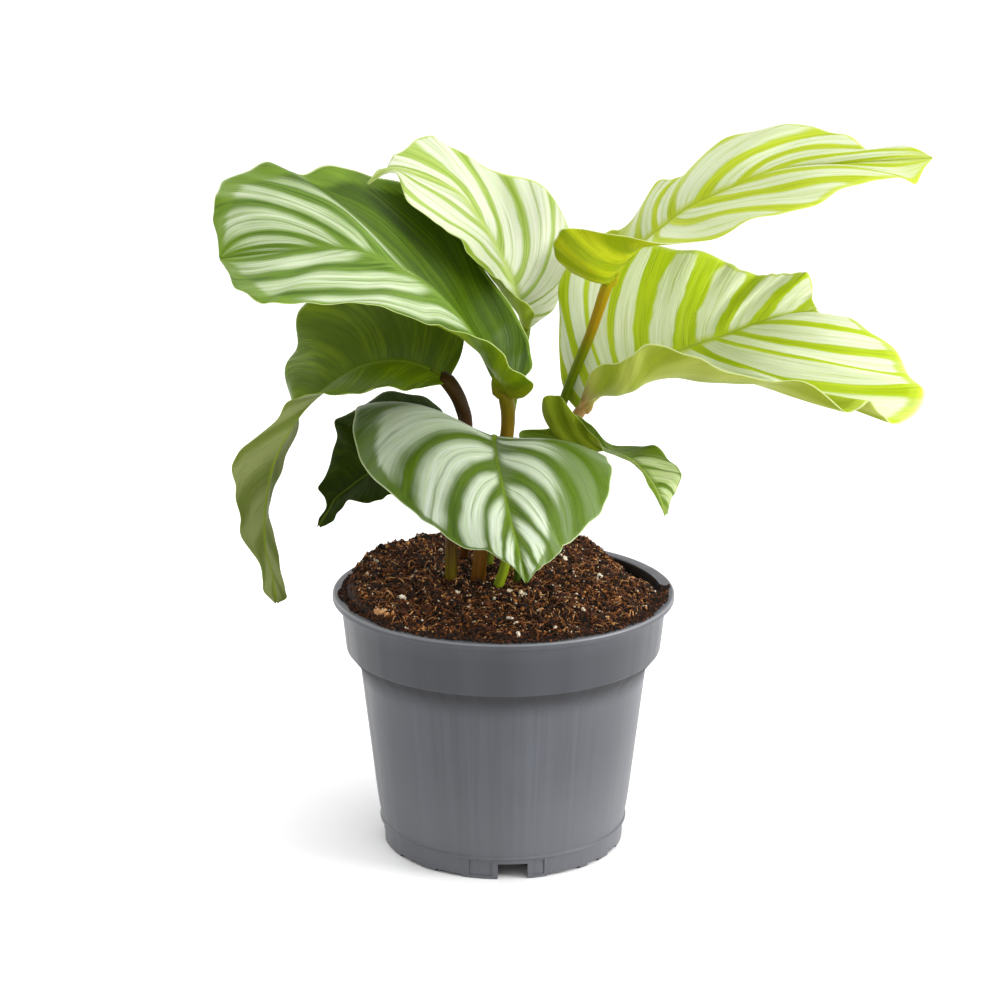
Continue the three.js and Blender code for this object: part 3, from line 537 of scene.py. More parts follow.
class Looks:
    """Short calls that add nodes to one material."""

    def __init__(self, name):
        self.material = bpy.data.materials.new(name)
        self.material.use_nodes = True
        self.tree = self.material.node_tree
        self.shader = self.tree.nodes["Principled BSDF"]

    def node(self, kind, **settings):
        made = self.tree.nodes.new(kind)
        for key, value in settings.items():
            setattr(made, key, value)
        return made

    def feed(self, socket, value):
        if isinstance(value, bpy.types.NodeSocket):
            self.tree.links.new(value, socket)
        elif isinstance(value, tuple) and len(value) == 3 and socket.type == "RGBA":
            socket.default_value = (*value, 1)
        else:
            socket.default_value = value

    def math(self, operation, *values):
        made = self.node("ShaderNodeMath", operation=operation)
        for socket, value in zip(made.inputs, values):
            self.feed(socket, value)
        return made.outputs[0]

    def add(self, first, second):
        return self.math("ADD", first, second)

    def less(self, first, second):
        return self.math("SUBTRACT", first, second)

    def times(self, first, second):
        return self.math("MULTIPLY", first, second)

    def swing(self, noise, reach):
        """Noise from 0 to 1 as a shift of up to half the reach either way."""
        return self.times(self.less(noise, 0.5), reach)

    def from_whole(self, value):
        """How far the value is from the nearest whole number."""
        return self.math("ABSOLUTE", self.less(self.math("FRACT", self.add(value, 0.5)), 0.5))

    def step(self, value, low, high, from_value=0.0, to_value=1.0):
        """A smooth step of value from low to high."""
        made = self.node("ShaderNodeMapRange", interpolation_type="SMOOTHSTEP")
        for socket, number in zip(made.inputs, (value, low, high, from_value, to_value)):
            self.feed(socket, number)
        return made.outputs[0]

    def mix(self, share, first, second, blend="MIX"):
        made = self.node("ShaderNodeMix", data_type="RGBA", blend_type=blend)
        self.feed(made.inputs[0], share)
        self.feed(made.inputs[6], first)
        self.feed(made.inputs[7], second)
        return made.outputs[2]

    def layers(self, tint, *laid):
        """A tint under layers, each given as how far it covers and its colour."""
        for share, over in laid:
            tint = self.mix(share, tint, over)
        return tint

    def number(self, name):
        return self.node("ShaderNodeAttribute", attribute_name=name).outputs["Fac"]

    def uv(self, name):
        split = self.node("ShaderNodeSeparateXYZ")
        self.feed(split.inputs[0], self.node("ShaderNodeUVMap", uv_map=name).outputs[0])
        return split.outputs[0], split.outputs[1]

    def place(self, x, y, z=0.0):
        made = self.node("ShaderNodeCombineXYZ")
        for socket, value in zip(made.inputs, (x, y, z)):
            self.feed(socket, value)
        return made.outputs[0]

    def feed_named(self, made, **values):
        for name, value in values.items():
            self.feed(made.inputs[name], value)

    def noise(self, vector, scale, detail=2.0, roughness=0.5):
        made = self.node("ShaderNodeTexNoise")
        self.feed_named(made, Vector=vector, Scale=scale, Detail=detail, Roughness=roughness)
        return made.outputs[0]

    def clouds(self, scale, detail, roughness=0.5, stretch=(1, 1, 1)):
        """Noise that fills the space round the object."""
        return self.noise(self.object_place(stretch), scale, detail, roughness)

    def grain(self, place, across, along, seed, detail=2.0):
        """Noise stretched along the grain of a place given as across and along."""
        place = self.place(self.times(place[0], across), self.times(place[1], along), seed)
        return self.noise(place, 1.0, detail)

    def object_place(self, stretch=(1, 1, 1)):
        """The place on the object, in metres, stretched along each axis."""
        made = self.node("ShaderNodeMapping")
        self.feed(made.inputs[0], self.node("ShaderNodeTexCoord").outputs["Object"])
        made.inputs["Scale"].default_value = stretch
        return made.outputs[0]

    def ramp(self, value, stops):
        """Colours, as they look, that blend into each other where the value passes from stop to stop."""
        made = self.node("ShaderNodeValToRGB")
        self.feed(made.inputs[0], value)
        marks = made.color_ramp.elements
        while len(marks) < len(stops):
            marks.new(1)
        for mark, (place, tint) in zip(marks, stops):
            mark.position = place
            mark.color = (*colour(*tint), 1)
        return made.outputs[0]

    def bump(self, height, distance, strength):
        made = self.node("ShaderNodeBump")
        self.feed_named(made, Height=height, Distance=distance, Strength=strength)
        self.feed_named(self.shader, Normal=made.outputs[0])

    def finish(self, base, roughness, **constants):
        self.feed(self.shader.inputs["Base Color"], base)
        self.feed_named(self.shader, Roughness=roughness)
        for name, value in constants.items():
            self.shader.inputs[name.replace("_", " ")].default_value = value
        return self.material


SPECK_BROWN = (120, 112, 50)
DUST_GREY = (150, 150, 152)
# The near black of the collar's inside: painted shade, with soil smeared on it.
SOIL_SMEAR_AND_SHADE = (24, 21, 19)

# What is left of a stem's colour in its streaks, as shares of red, green and blue.
STREAK_SHADE = (0.45, 0.42, 0.30)


def blade_material(name, look, underside):
    """Stripes, fine veins, margins and a midrib, painted along the veins of a blade."""
    m = Looks(f"{name}_{'under' if underside else 'upper'}")
    pales, stripes, grounds, unders = ([colour(*tint) for tint in look[key]] for key in PAIRED_TINTS)
    margin, rim, rib, base = (colour(*look[key]) for key in SINGLE_TINTS)
    place = m.uv("veins")
    vein, share = place
    away = m.number("away")
    blur = look["stripe_blur"]

    # Noise that runs along the veins, from the finest hairs to slow changes.
    hairs = m.grain(place, 26.0, 1.6, 0.0)
    streaks = m.grain(place, 10.0, 1.8, 5.0, 3.0)
    broad = m.grain(place, 1.3, 2.6, 4.0)
    wobble = m.grain(place, 0.7, 3.0, 9.0)

    # Dark stripes lie on whole vein numbers and widen at the midrib and at the edge.
    nearest = m.from_whole(m.add(vein, m.swing(wobble, 0.14)))
    at_midrib, at_edge = look["flare"]
    flare = m.add(
        m.step(away, 13 * MM, 1 * MM, 0.0, at_midrib), m.step(share, 0.84, 1.0, 0.0, at_edge)
    )
    own_width = m.times(m.number("width"), look["stripe_width"])
    half_width = m.add(m.times(own_width, m.add(m.times(broad, 0.8), 0.6)), flare)
    feathered = m.add(nearest, m.add(m.swing(streaks, blur * 1.6), m.swing(hairs, blur * 1.1)))
    stripe = m.step(feathered, m.less(half_width, blur), m.add(half_width, blur), 1.0, 0.0)

    # Fine veins run between the stripes, and a stronger one half-way.
    fine = m.step(hairs, 0.52, 0.66)
    patches = m.step(broad, 0.38, 0.56, look["middle"] * 0.25, look["middle"])
    middle = m.times(m.step(nearest, 0.462, 0.488), patches)

    if underside:
        tint = m.layers(
            m.mix(m.step(nearest, 0.10, 0.34), *reversed(unders)),
            (m.times(fine, 0.30), unders[1]),
            (m.times(middle, 0.5), unders[0]),
            (m.times(m.number("near_stem"), m.step(streaks, 0.2, 0.7, 0.7, 1.0)), base),
        )
    else:
        mottled = m.step(streaks, 0.3, 0.7)
        pale = m.layers(m.mix(mottled, *pales), (m.times(fine, 0.15), stripes[0]), (middle, stripes[1]))
        dark = m.mix(m.step(m.add(streaks, m.swing(hairs, 0.5)), 0.3, 0.7), *stripes)
        ragged = m.add(m.swing(streaks, 0.7), m.swing(hairs, 0.4))
        beside_midrib = m.times(m.step(away, 4.5 * MM, 0.6 * MM), m.step(streaks, 0.25, 0.6, 0.3, 0.95))
        edge_zone = m.step(m.add(m.number("green_edge"), ragged), 0.3, 0.8, 0.0, 0.85)
        tint = m.layers(
            m.mix(m.step(streaks, 0.25, 0.75), *grounds),
            (m.times(stripe, 0.7), grounds[1]),
            (m.times(fine, 0.2), grounds[1]),
            (m.step(m.add(m.number("silver"), ragged), 0.25, 0.75), m.mix(stripe, pale, dark)),
            (beside_midrib, stripes[0]),
            (edge_zone, m.mix(mottled, margin, stripes[0])),
            (m.times(m.number("near_tip"), 0.7), margin),
        )

    # The stripes' dark cores, the midrib, the rim, slow changes of tone and a few small brown specks.
    tint = m.layers(
        tint,
        (m.times(m.step(nearest, 0.035, 0.012), m.step(broad, 0.35, 0.6, 0.1, 0.4)), grounds[1]),
        (m.step(away, 1.0 * MM, 0.4 * MM, 0.0, 0.85), rib),
        (m.step(share, 0.986, 0.996), rim),
        (m.step(m.clouds(22.0, 3.0), 0.35, 0.75, 0.0, 0.14), grounds[0]),
        (m.times(m.step(m.clouds(420.0, 1.0), 0.80, 0.86), 0.5), colour(*SPECK_BROWN)),
    )

    height = m.less(m.times(nearest, 1.3), m.times(fine, 0.35))
    height = m.add(m.less(height, m.times(middle, 0.5)), m.times(streaks, 0.4))
    m.bump(height, 0.0005, 0.8 if underside else 0.6)
    smoothest, roughest = (0.46, 0.60) if underside else (0.34, 0.48)
    return m.finish(
        tint,
        m.step(streaks, 0.2, 0.8, smoothest, roughest),
        Specular_IOR_Level=look["specular"] * (0.7 if underside else 1.0),
        Subsurface_Weight=0.25,
        Subsurface_Radius=(0.7, 1.0, 0.25),
        Subsurface_Scale=0.0005,
    )


def stem_material(name, stops):
    """The stem's colours along its length, with darker streaks and blotches."""
    m = Looks(f"stem_{name}")
    place = m.uv("skin")
    streaks = m.grain(place, 40.0, 5.0, 0.0, 3.0)
    blotches = m.clouds(160.0, 3.0)
    tint = m.ramp(m.add(place[1], m.swing(streaks, 0.10)), stops)
    shade = m.mix(1.0, tint, STREAK_SHADE, "MULTIPLY")
    tint = m.layers(
        tint,
        (m.step(streaks, 0.35, 0.75, 0.0, 0.40), shade),
        (m.step(blotches, 0.58, 0.75, 0.0, 0.30), shade),
    )
    m.bump(m.add(streaks, m.times(blotches, 0.3)), 0.0006, 0.5)
    return m.finish(
        tint,
        m.step(streaks, 0.2, 0.8, 0.34, 0.50),
        Specular_IOR_Level=0.1,
        Subsurface_Weight=0.08,
        Subsurface_Radius=(0.8, 1.0, 0.3),
        Subsurface_Scale=0.0008,
    )


def pot_material():
    """Matt grey plastic with faint upright flow marks, a few scuffs and dust, and painted light and shade.
    """
    m = Looks("pot_plastic_grey")
    split = m.node("ShaderNodeSeparateXYZ")
    m.feed(split.inputs[0], m.object_place())
    x, y, z = split.outputs
    radius = m.math("SQRT", m.add(m.times(x, x), m.times(y, y)))
    spread = m.math("DIVIDE", BODY_TOP_RADIUS * MM, m.math("MAXIMUM", radius, MM))
    around = m.place(m.times(x, spread), m.times(y, spread), m.times(z, 0.02))
    tall = m.noise(around, 260.0, 3.0, 0.6)
    wide = m.noise(around, 46.0, 2.0)
    grain = m.clouds(1600.0, 2.0)
    clouds = m.clouds(24.0, 3.0)
    wide_marks = m.step(wide, 0.35, 0.7)
    dust = m.step(m.clouds(520.0, 1.0), 0.80, 0.85)

    # Painted shade makes the collar a little darker and lies softly below it and, with smeared soil, on its
    # inside; a painted highlight runs along the lip's outer top edge.
    collar = m.step(z, (COLLAR_BOTTOM_Z - 0.5) * MM, (COLLAR_BOTTOM_Z - 0.1) * MM)
    shade = m.step(z, (BODY_TOP_Z - 9) * MM, (COLLAR_BOTTOM_Z - 2) * MM, 0.0, 0.9)
    shade = m.times(shade, m.less(1.0, collar))
    slope = COLLAR_TAPER / COLLAR_HEIGHT
    outside = m.add(m.times(z, slope), (COLLAR_BOTTOM_RADIUS - COLLAR_BOTTOM_Z * slope) * MM)
    inner_face = m.step(m.less(outside, radius), 0.8 * MM, 1.4 * MM)
    lip = (RIM_HEIGHT - 1.2) * MM, (RIM_HEIGHT - 0.4) * MM
    inside = m.times(inner_face, m.times(collar, m.step(z, *lip, 1.0, 0.0)))
    # The lip's outer top edge, which gets a painted highlight.
    lip_highlight = m.step(radius, (RIM_RADIUS - 1.4) * MM, (RIM_RADIUS - 0.6) * MM)
    tint = m.layers(
        m.mix(m.step(tall, 0.36, 0.64), colour(75, 77, 84), colour(86, 88, 96)),
        (m.step(wide, 0.35, 0.7, 0.0, 0.6), colour(70, 71, 77)),
        (m.step(clouds, 0.45, 0.8, 0.0, 0.4), colour(92, 96, 104)),
        # Painted light: the body is lighter towards its foot.
        (m.step(z, PALE_FOOT_Z * MM, PALE_TOP_Z * MM, 0.5, 0.0), colour(108, 109, 114)),
        (m.times(dust, 0.4), colour(*DUST_GREY)),
        # Painted shade on the collar, weaker towards the lip.
        (
            m.times(collar, m.step(z, COLLAR_FADE_Z * MM, COLLAR_PALE_Z * MM, 1.0, 0.5)),
            m.mix(wide_marks, colour(58, 60, 67), colour(49, 51, 58)),
        ),
        (shade, colour(40, 40, 43)),
        # Painted shade on the collar's inside, with soil smeared on it.
        (m.times(inside, m.step(clouds, 0.3, 0.6, 0.85, 0.98)), colour(*SOIL_SMEAR_AND_SHADE)),
        # A painted highlight along the lip's outer top edge.
        (m.times(lip_highlight, m.step(z, *lip, 0.0, 0.6)), colour(150, 152, 157)),
    )
    m.bump(m.add(m.times(tall, 0.6), m.times(grain, 0.25)), 0.0003, 0.30)
    roughness = m.add(m.step(tall, 0.3, 0.7, 0.34, 0.46), m.times(shade, 0.45))
    return m.finish(tint, roughness, Specular_IOR_Level=0.5)


def soil_material():
    """Dark peat with paler threads that lie mostly along one way."""
    m = Looks("peat")
    lumps = m.clouds(420.0, 4.0, 0.7)
    threads = m.clouds(900.0, 3.0, 0.65, (1.0, 0.35, 0.6))
    tint = m.ramp(
        m.add(m.times(lumps, 0.6), m.times(threads, 0.4)),
        [(0.40, (18, 8, 1)), (0.52, (48, 24, 6)), (0.62, (104, 56, 18)), (0.74, (168, 102, 48))],
    )
    m.bump(m.add(lumps, threads), 0.0012, 0.9)
    return m.finish(tint, 0.9, Specular_IOR_Level=0.3)


def crumb_material(name, stops, roughness=0.9):
    """Loose bits, each with a tint of its own."""
    m = Looks(name)
    grain = m.clouds(900.0, 3.0)
    tint = m.ramp(m.add(m.number("tint"), m.swing(grain, 0.5)), stops)
    m.bump(grain, 0.0004, 0.6)
    return m.finish(tint, roughness, Specular_IOR_Level=0.3)


# ---- Blades ----

def edge_points(leaf, side):
    """The edge's points, with the first and last set just beside the base and the tip."""
    midrib = np.array(leaf["midrib"], float)
    edge = np.array(leaf[side], float)
    first = midrib[0] + BASE_HALF_WIDTH * unit(edge[0] - midrib[1])
    last = midrib[-1] + TIP_HALF_WIDTH * unit(edge[-1] - midrib[-2])
    return np.vstack([first, edge, last])


def half_blade(leaf, side, lengths, shares):
    """Points of one half of the blade's middle surface, rows along its length."""
    sign = -1 if side == "left" else 1
    rib = curve_points(leaf["midrib"], lengths)
    ahead = curve_points(leaf["midrib"], np.minimum(1, lengths + 0.01))
    behind = curve_points(leaf["midrib"], np.maximum(0, lengths - 0.01))
    forward = unit(ahead - behind)
    across = curve_points(edge_points(leaf, side), lengths) - rib
    wide = np.linalg.norm(across, axis=1)
    up = sign * unit(np.cross(across, forward))
    belly = curve_points(leaf["belly"][side], lengths)[:, 0]
    count, height, phase = leaf["waves"]
    ends = np.sin(np.pi * lengths)
    shift = LEFT_WAVE_SHIFT if side == "left" else 0
    wave = height * ends * np.sin(2 * np.pi * count * lengths + phase + shift)
    s = shares[None, :]
    bow = 4 * s * (1 - s) * wide[:, None]
    lift = bow * belly[:, None] + wave[:, None] * s**3
    return (
        rib[:, None]
        + across[:, None] * s[..., None]
        + up[:, None] * lift[..., None]
        - forward[:, None] * (bow * VEIN_SWEEP * ends[:, None])[..., None]
    )


def vein_numbers(stations, curve, lengths, shares):
    """Which vein passes each point of a half blade, whole on a vein, and how wide it is."""
    starts, ends, widths = (np.array(column, float) for column in zip(*stations))
    for _ in range(2):
        starts = np.concatenate([[2 * starts[0] - starts[1]], starts, [2 * starts[-1] - starts[-2]]])
        ends = np.concatenate([[2 * ends[0] - ends[1]], ends, [2 * ends[-1] - ends[-2]]])
        widths = np.concatenate([[1], widths, [1]])
    numbers = np.empty((len(lengths), len(shares)))
    for column, share in enumerate(shares):
        places = starts + (ends - starts) * share**curve
        numbers[:, column] = np.interp(lengths, places, np.arange(len(places)) - 2)
    return numbers, widths[np.clip(np.round(numbers).astype(int) + 2, 0, len(widths) - 1)]


def whole(halves, start=1):
    """One grid from two halves that begin at the midrib, whose column is there twice from start 0."""
    return np.concatenate([halves["left"][:, ::-1], halves["right"][:, start:]], axis=1)


def grid_normals(grid):
    """The surface's direction at each point, the same for all points of the first and the last row."""
    along = np.gradient(grid, axis=0)
    across = np.gradient(grid, axis=1)
    normals = unit(np.cross(across, along))
    for row in (0, -1):
        normals[row] = unit(normals[row].mean(axis=0))
    return normals


# How far the edge waves in and out, for the named leaves and for the others.
SCALLOPS = {"upper_left": 1.3, "left": 1.0, "top": 0.9}
SMALL_SCALLOPS = 0.6

# Where an edge turns up or down: side, place along the blade, spread and height.
RUFFLES = {
    "right": [
        ("right", 0.500, 0.018, 6.0), ("right", 0.540, 0.013, -2.5), ("right", 0.578, 0.012, 5.5),
        ("right", 0.620, 0.012, -1.0),
    ],
    "upper_right": [("right", 0.88, 0.03, 2.0), ("right", 0.93, 0.02, -4.0)],
}


def make_blade(name):
    """A closed blade with a numbered vein pattern, its own relief and two painted faces."""
    leaf, look = LEAVES[name], LOOKS[name]
    rows, half = BLADE_ROWS, BLADE_COLUMNS_PER_HALF
    lengths = np.linspace(0, 1, rows + 1)
    shares = np.linspace(0, 1, half + 1)
    points, veins, widths, silver, green_edge = ({} for _ in range(5))
    for side in ("left", "right"):
        points[side] = half_blade(leaf, side, lengths, shares)
        veins[side], widths[side] = vein_numbers(look["veins"][side], look["curve"], lengths, shares)
        silver[side] = smooth_step(*look["silver"][side], veins[side])
        start = curve_points(look["green_edge"][side], lengths)
        green_edge[side] = smooth_step(start, 0.2 * start + 0.8, shares[None, :])
    half_shares = both(np.tile(shares, (rows + 1, 1)))

    # The edge's waves.
    grid = whole(points)
    share = whole(half_shares)
    along = lengths[:, None]
    sides = np.where(np.arange(2 * half + 1) < half, -1, 1)[None]
    ends = np.sin(np.pi * along) ** 0.5
    left_out, right_out = (unit(one[:, -1:] - one[:, :1]) for one in points.values())
    outward = np.where(sides[..., None] < 0, left_out, right_out)
    slow = np.sin(2 * np.pi * (7.3 * along + 0.31 * sides))
    quick = np.sin(2 * np.pi * (12.9 * along + 0.17 * sides))
    scallops = SCALLOPS.get(name, SMALL_SCALLOPS) * share**6 * ends * (0.6 * slow + 0.4 * quick)
    grid = grid + outward * scallops[..., None]
    for side, place, spread, height in RUFFLES.get(name, []):
        bump = np.exp(-(((along - place) / spread) ** 2)) * share**3
        grid[..., 2] += height * bump * (sides == (-1 if side == "left" else 1))

    # Shallow furrows along the veins, a groove along the midrib, a keel below it and a thin margin.
    normals = grid_normals(grid)
    away = np.linalg.norm(grid - grid[:, half : half + 1], axis=2)
    furrows = np.cos(2 * np.pi * whole(veins)) * ends * smooth_step(0, FURROW_START, away) * (1 - share**6)
    fine_turns = leaf["waves"][0] * 2.7 * along + 0.13 * len(name)
    fine_wave = share**5 * ends * np.sin(2 * np.pi * fine_turns)
    groove = np.exp(-((away / GROOVE_HALF_WIDTH) ** 2)) * (1 - along) ** 0.5
    relief = FURROW_DEPTH * furrows + FINE_WAVE_HEIGHT * fine_wave - GROOVE_DEPTH * groove
    grid = grid + normals * relief[..., None]
    thin = BLADE_HALF_THICKNESS * np.sqrt(1 - 0.96 * share**16)
    keel = KEEL_DEPTH * (1 - along) * np.maximum(0, 1 - (away / KEEL_HALF_WIDTH) ** 2)
    upper = grid + normals * thin[..., None]
    lower = grid - normals * (thin + keel)[..., None]

    # The faces above, below and round the edge.
    columns = 2 * half
    stride = columns + 1
    under = stride * (rows + 1)
    row, column = grid_quads(rows, columns)
    top = row * stride + column
    bottom = (top + under)[:, ::-1]
    border = []
    for i in range(rows):
        start, end = i * stride, i * stride + columns
        border += [(start, start + stride), (end + stride, end)]
    for j in range(columns):
        last = rows * stride + j
        border += [(j + 1, j), (last, last + 1)]
    rim = np.array([[a, b, under + b, under + a] for a, b in border])
    faces = np.vstack([top, bottom, rim])
    vertices = np.concatenate([upper.reshape(-1, 3), lower.reshape(-1, 3)])
    materials = [blade_material(name, look, underside) for underside in (False, True)]
    piece = make_object(f"blade_{name}", vertices, faces, materials)
    kinds = np.zeros(len(faces), np.int32)
    kinds[len(top) : len(top) + len(bottom)] = 1
    piece.data.polygons.foreach_set("material_index", kinds)

    # Each half numbers its veins by itself, so the midrib's column is there twice.
    maps = np.stack([whole(veins, 0), whole(half_shares, 0)], axis=2)
    upper_uv = maps[row, column + (column.min(axis=1, keepdims=True) >= half)]
    rim_row, rim_column = (rim % under) // stride, (rim % under) % stride
    rim_uv = maps[rim_row, rim_column + (rim_column > half)]
    add_uv(piece, "veins", np.concatenate([upper_uv, upper_uv[:, ::-1], rim_uv]))
    for key, values in (
        ("away", away * MM),
        ("silver", whole(silver)),
        ("green_edge", whole(green_edge)),
        ("width", whole(widths)),
        ("near_stem", smooth_step(0.16, 0.03, along) * np.ones(stride)),
        ("near_tip", smooth_step(0.90, 0.99, along) * np.ones(stride)),
    ):
        add_numbers(piece, key, np.concatenate([values.ravel(), values.ravel()]))
    settle(piece, look["slot"], f"leaf_{name}")


# ---- Stems ----

STEM_RINGS = 90
STEM_CORNERS = 28
STEM_FOOT_Z = 104
STEM_COLLAR_Z = 128
RIB_HEIGHT = 0.07
FINE_RIB_HEIGHT = 0.04
SWELLING = 0.07
SWELLING_SPREAD = 0.06

# How far along the midrib each stem's thick end reaches, where it isn't a tenth.
RUN_OUT = {"upper_right": 0.17, "front": 0.14, "small_left": 0.06, "small_right": 0.06}
RUN_OUT_TAPER = (0.8, 0.65, 0.5, 0.2)

# How much of the CAD's standoff is left where the stem turns under the midrib.
STANDOFF_SHARE = 0.8


def even_points(points, count):
    """Points at equal distances along a smooth curve."""
    fine = curve_points(points, np.linspace(0, 1, 600))
    gone = np.concatenate([[0], np.cumsum(np.linalg.norm(np.diff(fine, axis=0), axis=1))])
    wanted = np.linspace(0, gone[-1], count)
    return np.stack([np.interp(wanted, gone, fine[:, axis]) for axis in range(3)], 1)


def tube(centres, radius_at, corners):
    """Rings round a line of centres, carried along it without twisting."""
    forward = unit(np.gradient(centres, axis=0))
    side = unit(np.cross(forward[0], [0.3, 1.0, 0.1]))
    turns = np.linspace(0, 2 * np.pi, corners, endpoint=False)
    rings = []
    for centre, ahead, share in zip(centres, forward, np.linspace(0, 1, len(centres))):
        side = unit(side - ahead * np.dot(side, ahead))
        other = np.cross(ahead, side)
        ring = np.cos(turns)[:, None] * side + np.sin(turns)[:, None] * other
        rings.append(centre + radius_at(share, turns)[:, None] * ring)
    return np.array(rings)


def under_midrib(leaf, lengths, radii):
    """Points below the midrib, so that a round stalk there just sinks into the blade."""
    sides = [half_blade(leaf, side, lengths, np.array([0, 0.15])) for side in ("left", "right")]
    forward = unit(curve_points(leaf["midrib"], lengths + 0.01) - curve_points(leaf["midrib"], lengths))
    up = unit(np.cross(sides[1][:, 1] - sides[0][:, 1], forward))
    return sides[0][:, 0] - up * radii[:, None]


def make_stem(name):
    """The stem, which tapers into the midrib's underside."""
    leaf = LEAVES[name]
    base = np.array(leaf["midrib"][0], float)
    approach = unit(base - np.array(leaf["path"][-1], float))
    foot = leaf["foot"]
    top_radius = leaf["radii"][-1]
    lengths = np.linspace(0.03, RUN_OUT.get(name, 0.1), len(RUN_OUT_TAPER))
    run_out = under_midrib(leaf, lengths, top_radius * np.array(RUN_OUT_TAPER))
    stem_end = base - approach * leaf["standoff"] * STANDOFF_SHARE
    path = [[*foot, STEM_FOOT_Z], [*foot, STEM_COLLAR_Z], *leaf["path"], stem_end, *run_out]
    centres = even_points(path, STEM_RINGS)
    gone = np.linspace(0, 1, STEM_RINGS)
    turned = gone[np.argmin(np.linalg.norm(centres - stem_end, axis=1))]

    def radius_at(share, turns):
        """Radii of one ring, with faint ribs, a swelling below the blade and a thinning end."""
        radius = curve_points(leaf["radii"], [min(1, share / turned)])[0, 0]
        if share > turned:
            radius *= 1 - 0.75 * ((share - turned) / (1 - turned)) ** 1.5
        ribs = RIB_HEIGHT * np.cos(7 * turns) + FINE_RIB_HEIGHT * np.cos(11 * turns + 8 * share)
        swell = SWELLING * math.exp(-(((share - turned) / SWELLING_SPREAD) ** 2))
        return radius * (0.99 + swell) + ribs * min(1.0, 3 * (1 - share))

    rings = tube(centres, radius_at, STEM_CORNERS)
    quads, ends = tube_faces(STEM_RINGS, STEM_CORNERS)
    faces = quads.tolist() + ends
    piece = make_object(f"stalk_{name}", rings.reshape(-1, 3), faces, [stem_material(name, STEMS[name])])
    ring, corner = grid_quads(STEM_RINGS - 1, STEM_CORNERS)
    uv = np.stack([corner / STEM_CORNERS, ring / (STEM_RINGS - 1)], axis=2).reshape(-1, 2)
    caps = [[0.5, 0.0]] * STEM_CORNERS + [[0.5, 1.0]] * STEM_CORNERS
    add_uv(piece, "skin", np.vstack([uv, caps]))
    settle(piece, "stem", f"stem_{name}")


# ---- Pot ----

RIM_RADIUS = 85
RIM_HEIGHT = 129.6
LIP_THICKNESS = 3
LIP_OVERHANG = 4
COLLAR_HEIGHT = 25
COLLAR_TAPER = 2.6
BODY_TOP_Z = 94
BODY_TOP_RADIUS = 71.6
BODY_FOOT_Z = 22
BODY_FOOT_RADIUS = 63.4
FOOT_RING_RADIUS = 60.5
FLOOR_UNDERSIDE_Z = 10
WALL = 2
CENTRE_FOOT_RADIUS = 14
NOTCH_WIDTH = 14.7
NOTCH_HEIGHT = 8
NOTCH_COUNT = 4
NOTCH_TURN = math.radians(4.6)
DRAIN_COUNT = 6
DRAIN_RADIUS = 4.5
DRAIN_CIRCLE_RADIUS = 42
COLLAR_BOTTOM_Z = RIM_HEIGHT - LIP_THICKNESS - COLLAR_HEIGHT
COLLAR_TOP_RADIUS = RIM_RADIUS - LIP_OVERHANG
COLLAR_BOTTOM_RADIUS = COLLAR_TOP_RADIUS - COLLAR_TAPER
SHOULDER_Z = 11.3
FLOOR_TOP_Z = FLOOR_UNDERSIDE_Z + WALL
POT_SIDES = 240

# How far a cutter goes past the wall that it cuts.
CUTTER_REACH = 4

# Painted light makes the pot paler near its foot, less and less from the first height to the second.
# The collar's painted shade weakens between the last two.
PALE_FOOT_Z = 12
PALE_TOP_Z = 70
COLLAR_FADE_Z = 116
COLLAR_PALE_Z = 127

# Gaps in the lower edge of the foot ring, in degrees from the front, and their depth.
FOOT_GAPS = [
    (-57, -42), (-33, -19.5), (21, 39), (44, 52), (60, 70), (108, 124), (142, 160), (-150, -132),
    (-112, -101),
]
FOOT_GAP_DEPTH = 1.3

# Sunk fields beside the front and back notches, in degrees from the notch's middle, and how far they sink.
FOOT_FIELDS = [(-20.5, -9.5), (9.5, 15)]
FOOT_FIELD_DEPTH = 0.35
FOOT_FIELD_BOTTOM_Z = 1.6

# The outline of the pot's section, as radius, height and how round the corner is.
POT_OUTLINE = [
    (CENTRE_FOOT_RADIUS, 0, 0.5),
    (CENTRE_FOOT_RADIUS + 1, FLOOR_UNDERSIDE_Z, 0.5),
    (FOOT_RING_RADIUS - WALL, FLOOR_UNDERSIDE_Z, 0.5),
    (FOOT_RING_RADIUS - WALL, 0, 0.4),
    (FOOT_RING_RADIUS, 0, 0.5),
    (FOOT_RING_RADIUS + 0.5, SHOULDER_Z - 0.7, 0.2),
    (FOOT_RING_RADIUS + 1.9, SHOULDER_Z - 0.4, 0.2),
    (FOOT_RING_RADIUS + 1.9, SHOULDER_Z + 0.1, 0.2),
    (FOOT_RING_RADIUS + 1.1, SHOULDER_Z + 0.6, 0.2),
    (BODY_FOOT_RADIUS, BODY_FOOT_Z, 6),
    (BODY_TOP_RADIUS, BODY_TOP_Z - 1, 2.5),
    (COLLAR_BOTTOM_RADIUS - 1.5, COLLAR_BOTTOM_Z - 1.8, 1.6),
    (COLLAR_BOTTOM_RADIUS, COLLAR_BOTTOM_Z, 0.7),
    (COLLAR_TOP_RADIUS, RIM_HEIGHT - LIP_THICKNESS, 0.8),
    (RIM_RADIUS, RIM_HEIGHT - LIP_THICKNESS, 0.7),
    (RIM_RADIUS, RIM_HEIGHT, 1.1),
    (COLLAR_TOP_RADIUS - WALL, RIM_HEIGHT, 1.1),
    (COLLAR_BOTTOM_RADIUS - WALL, COLLAR_BOTTOM_Z + 1.5, 2),
    (COLLAR_BOTTOM_RADIUS - WALL - 1.5, BODY_TOP_Z + 4.5, 2),
    (BODY_TOP_RADIUS - WALL, BODY_TOP_Z + 1, 1),
    (BODY_FOOT_RADIUS - WALL, BODY_FOOT_Z + 1, 4),
    (FOOT_RING_RADIUS - WALL, FLOOR_TOP_Z, 1),
    (CENTRE_FOOT_RADIUS - WALL / 2, FLOOR_TOP_Z, 0.8),
    (CENTRE_FOOT_RADIUS - WALL, WALL, 0.8),
]


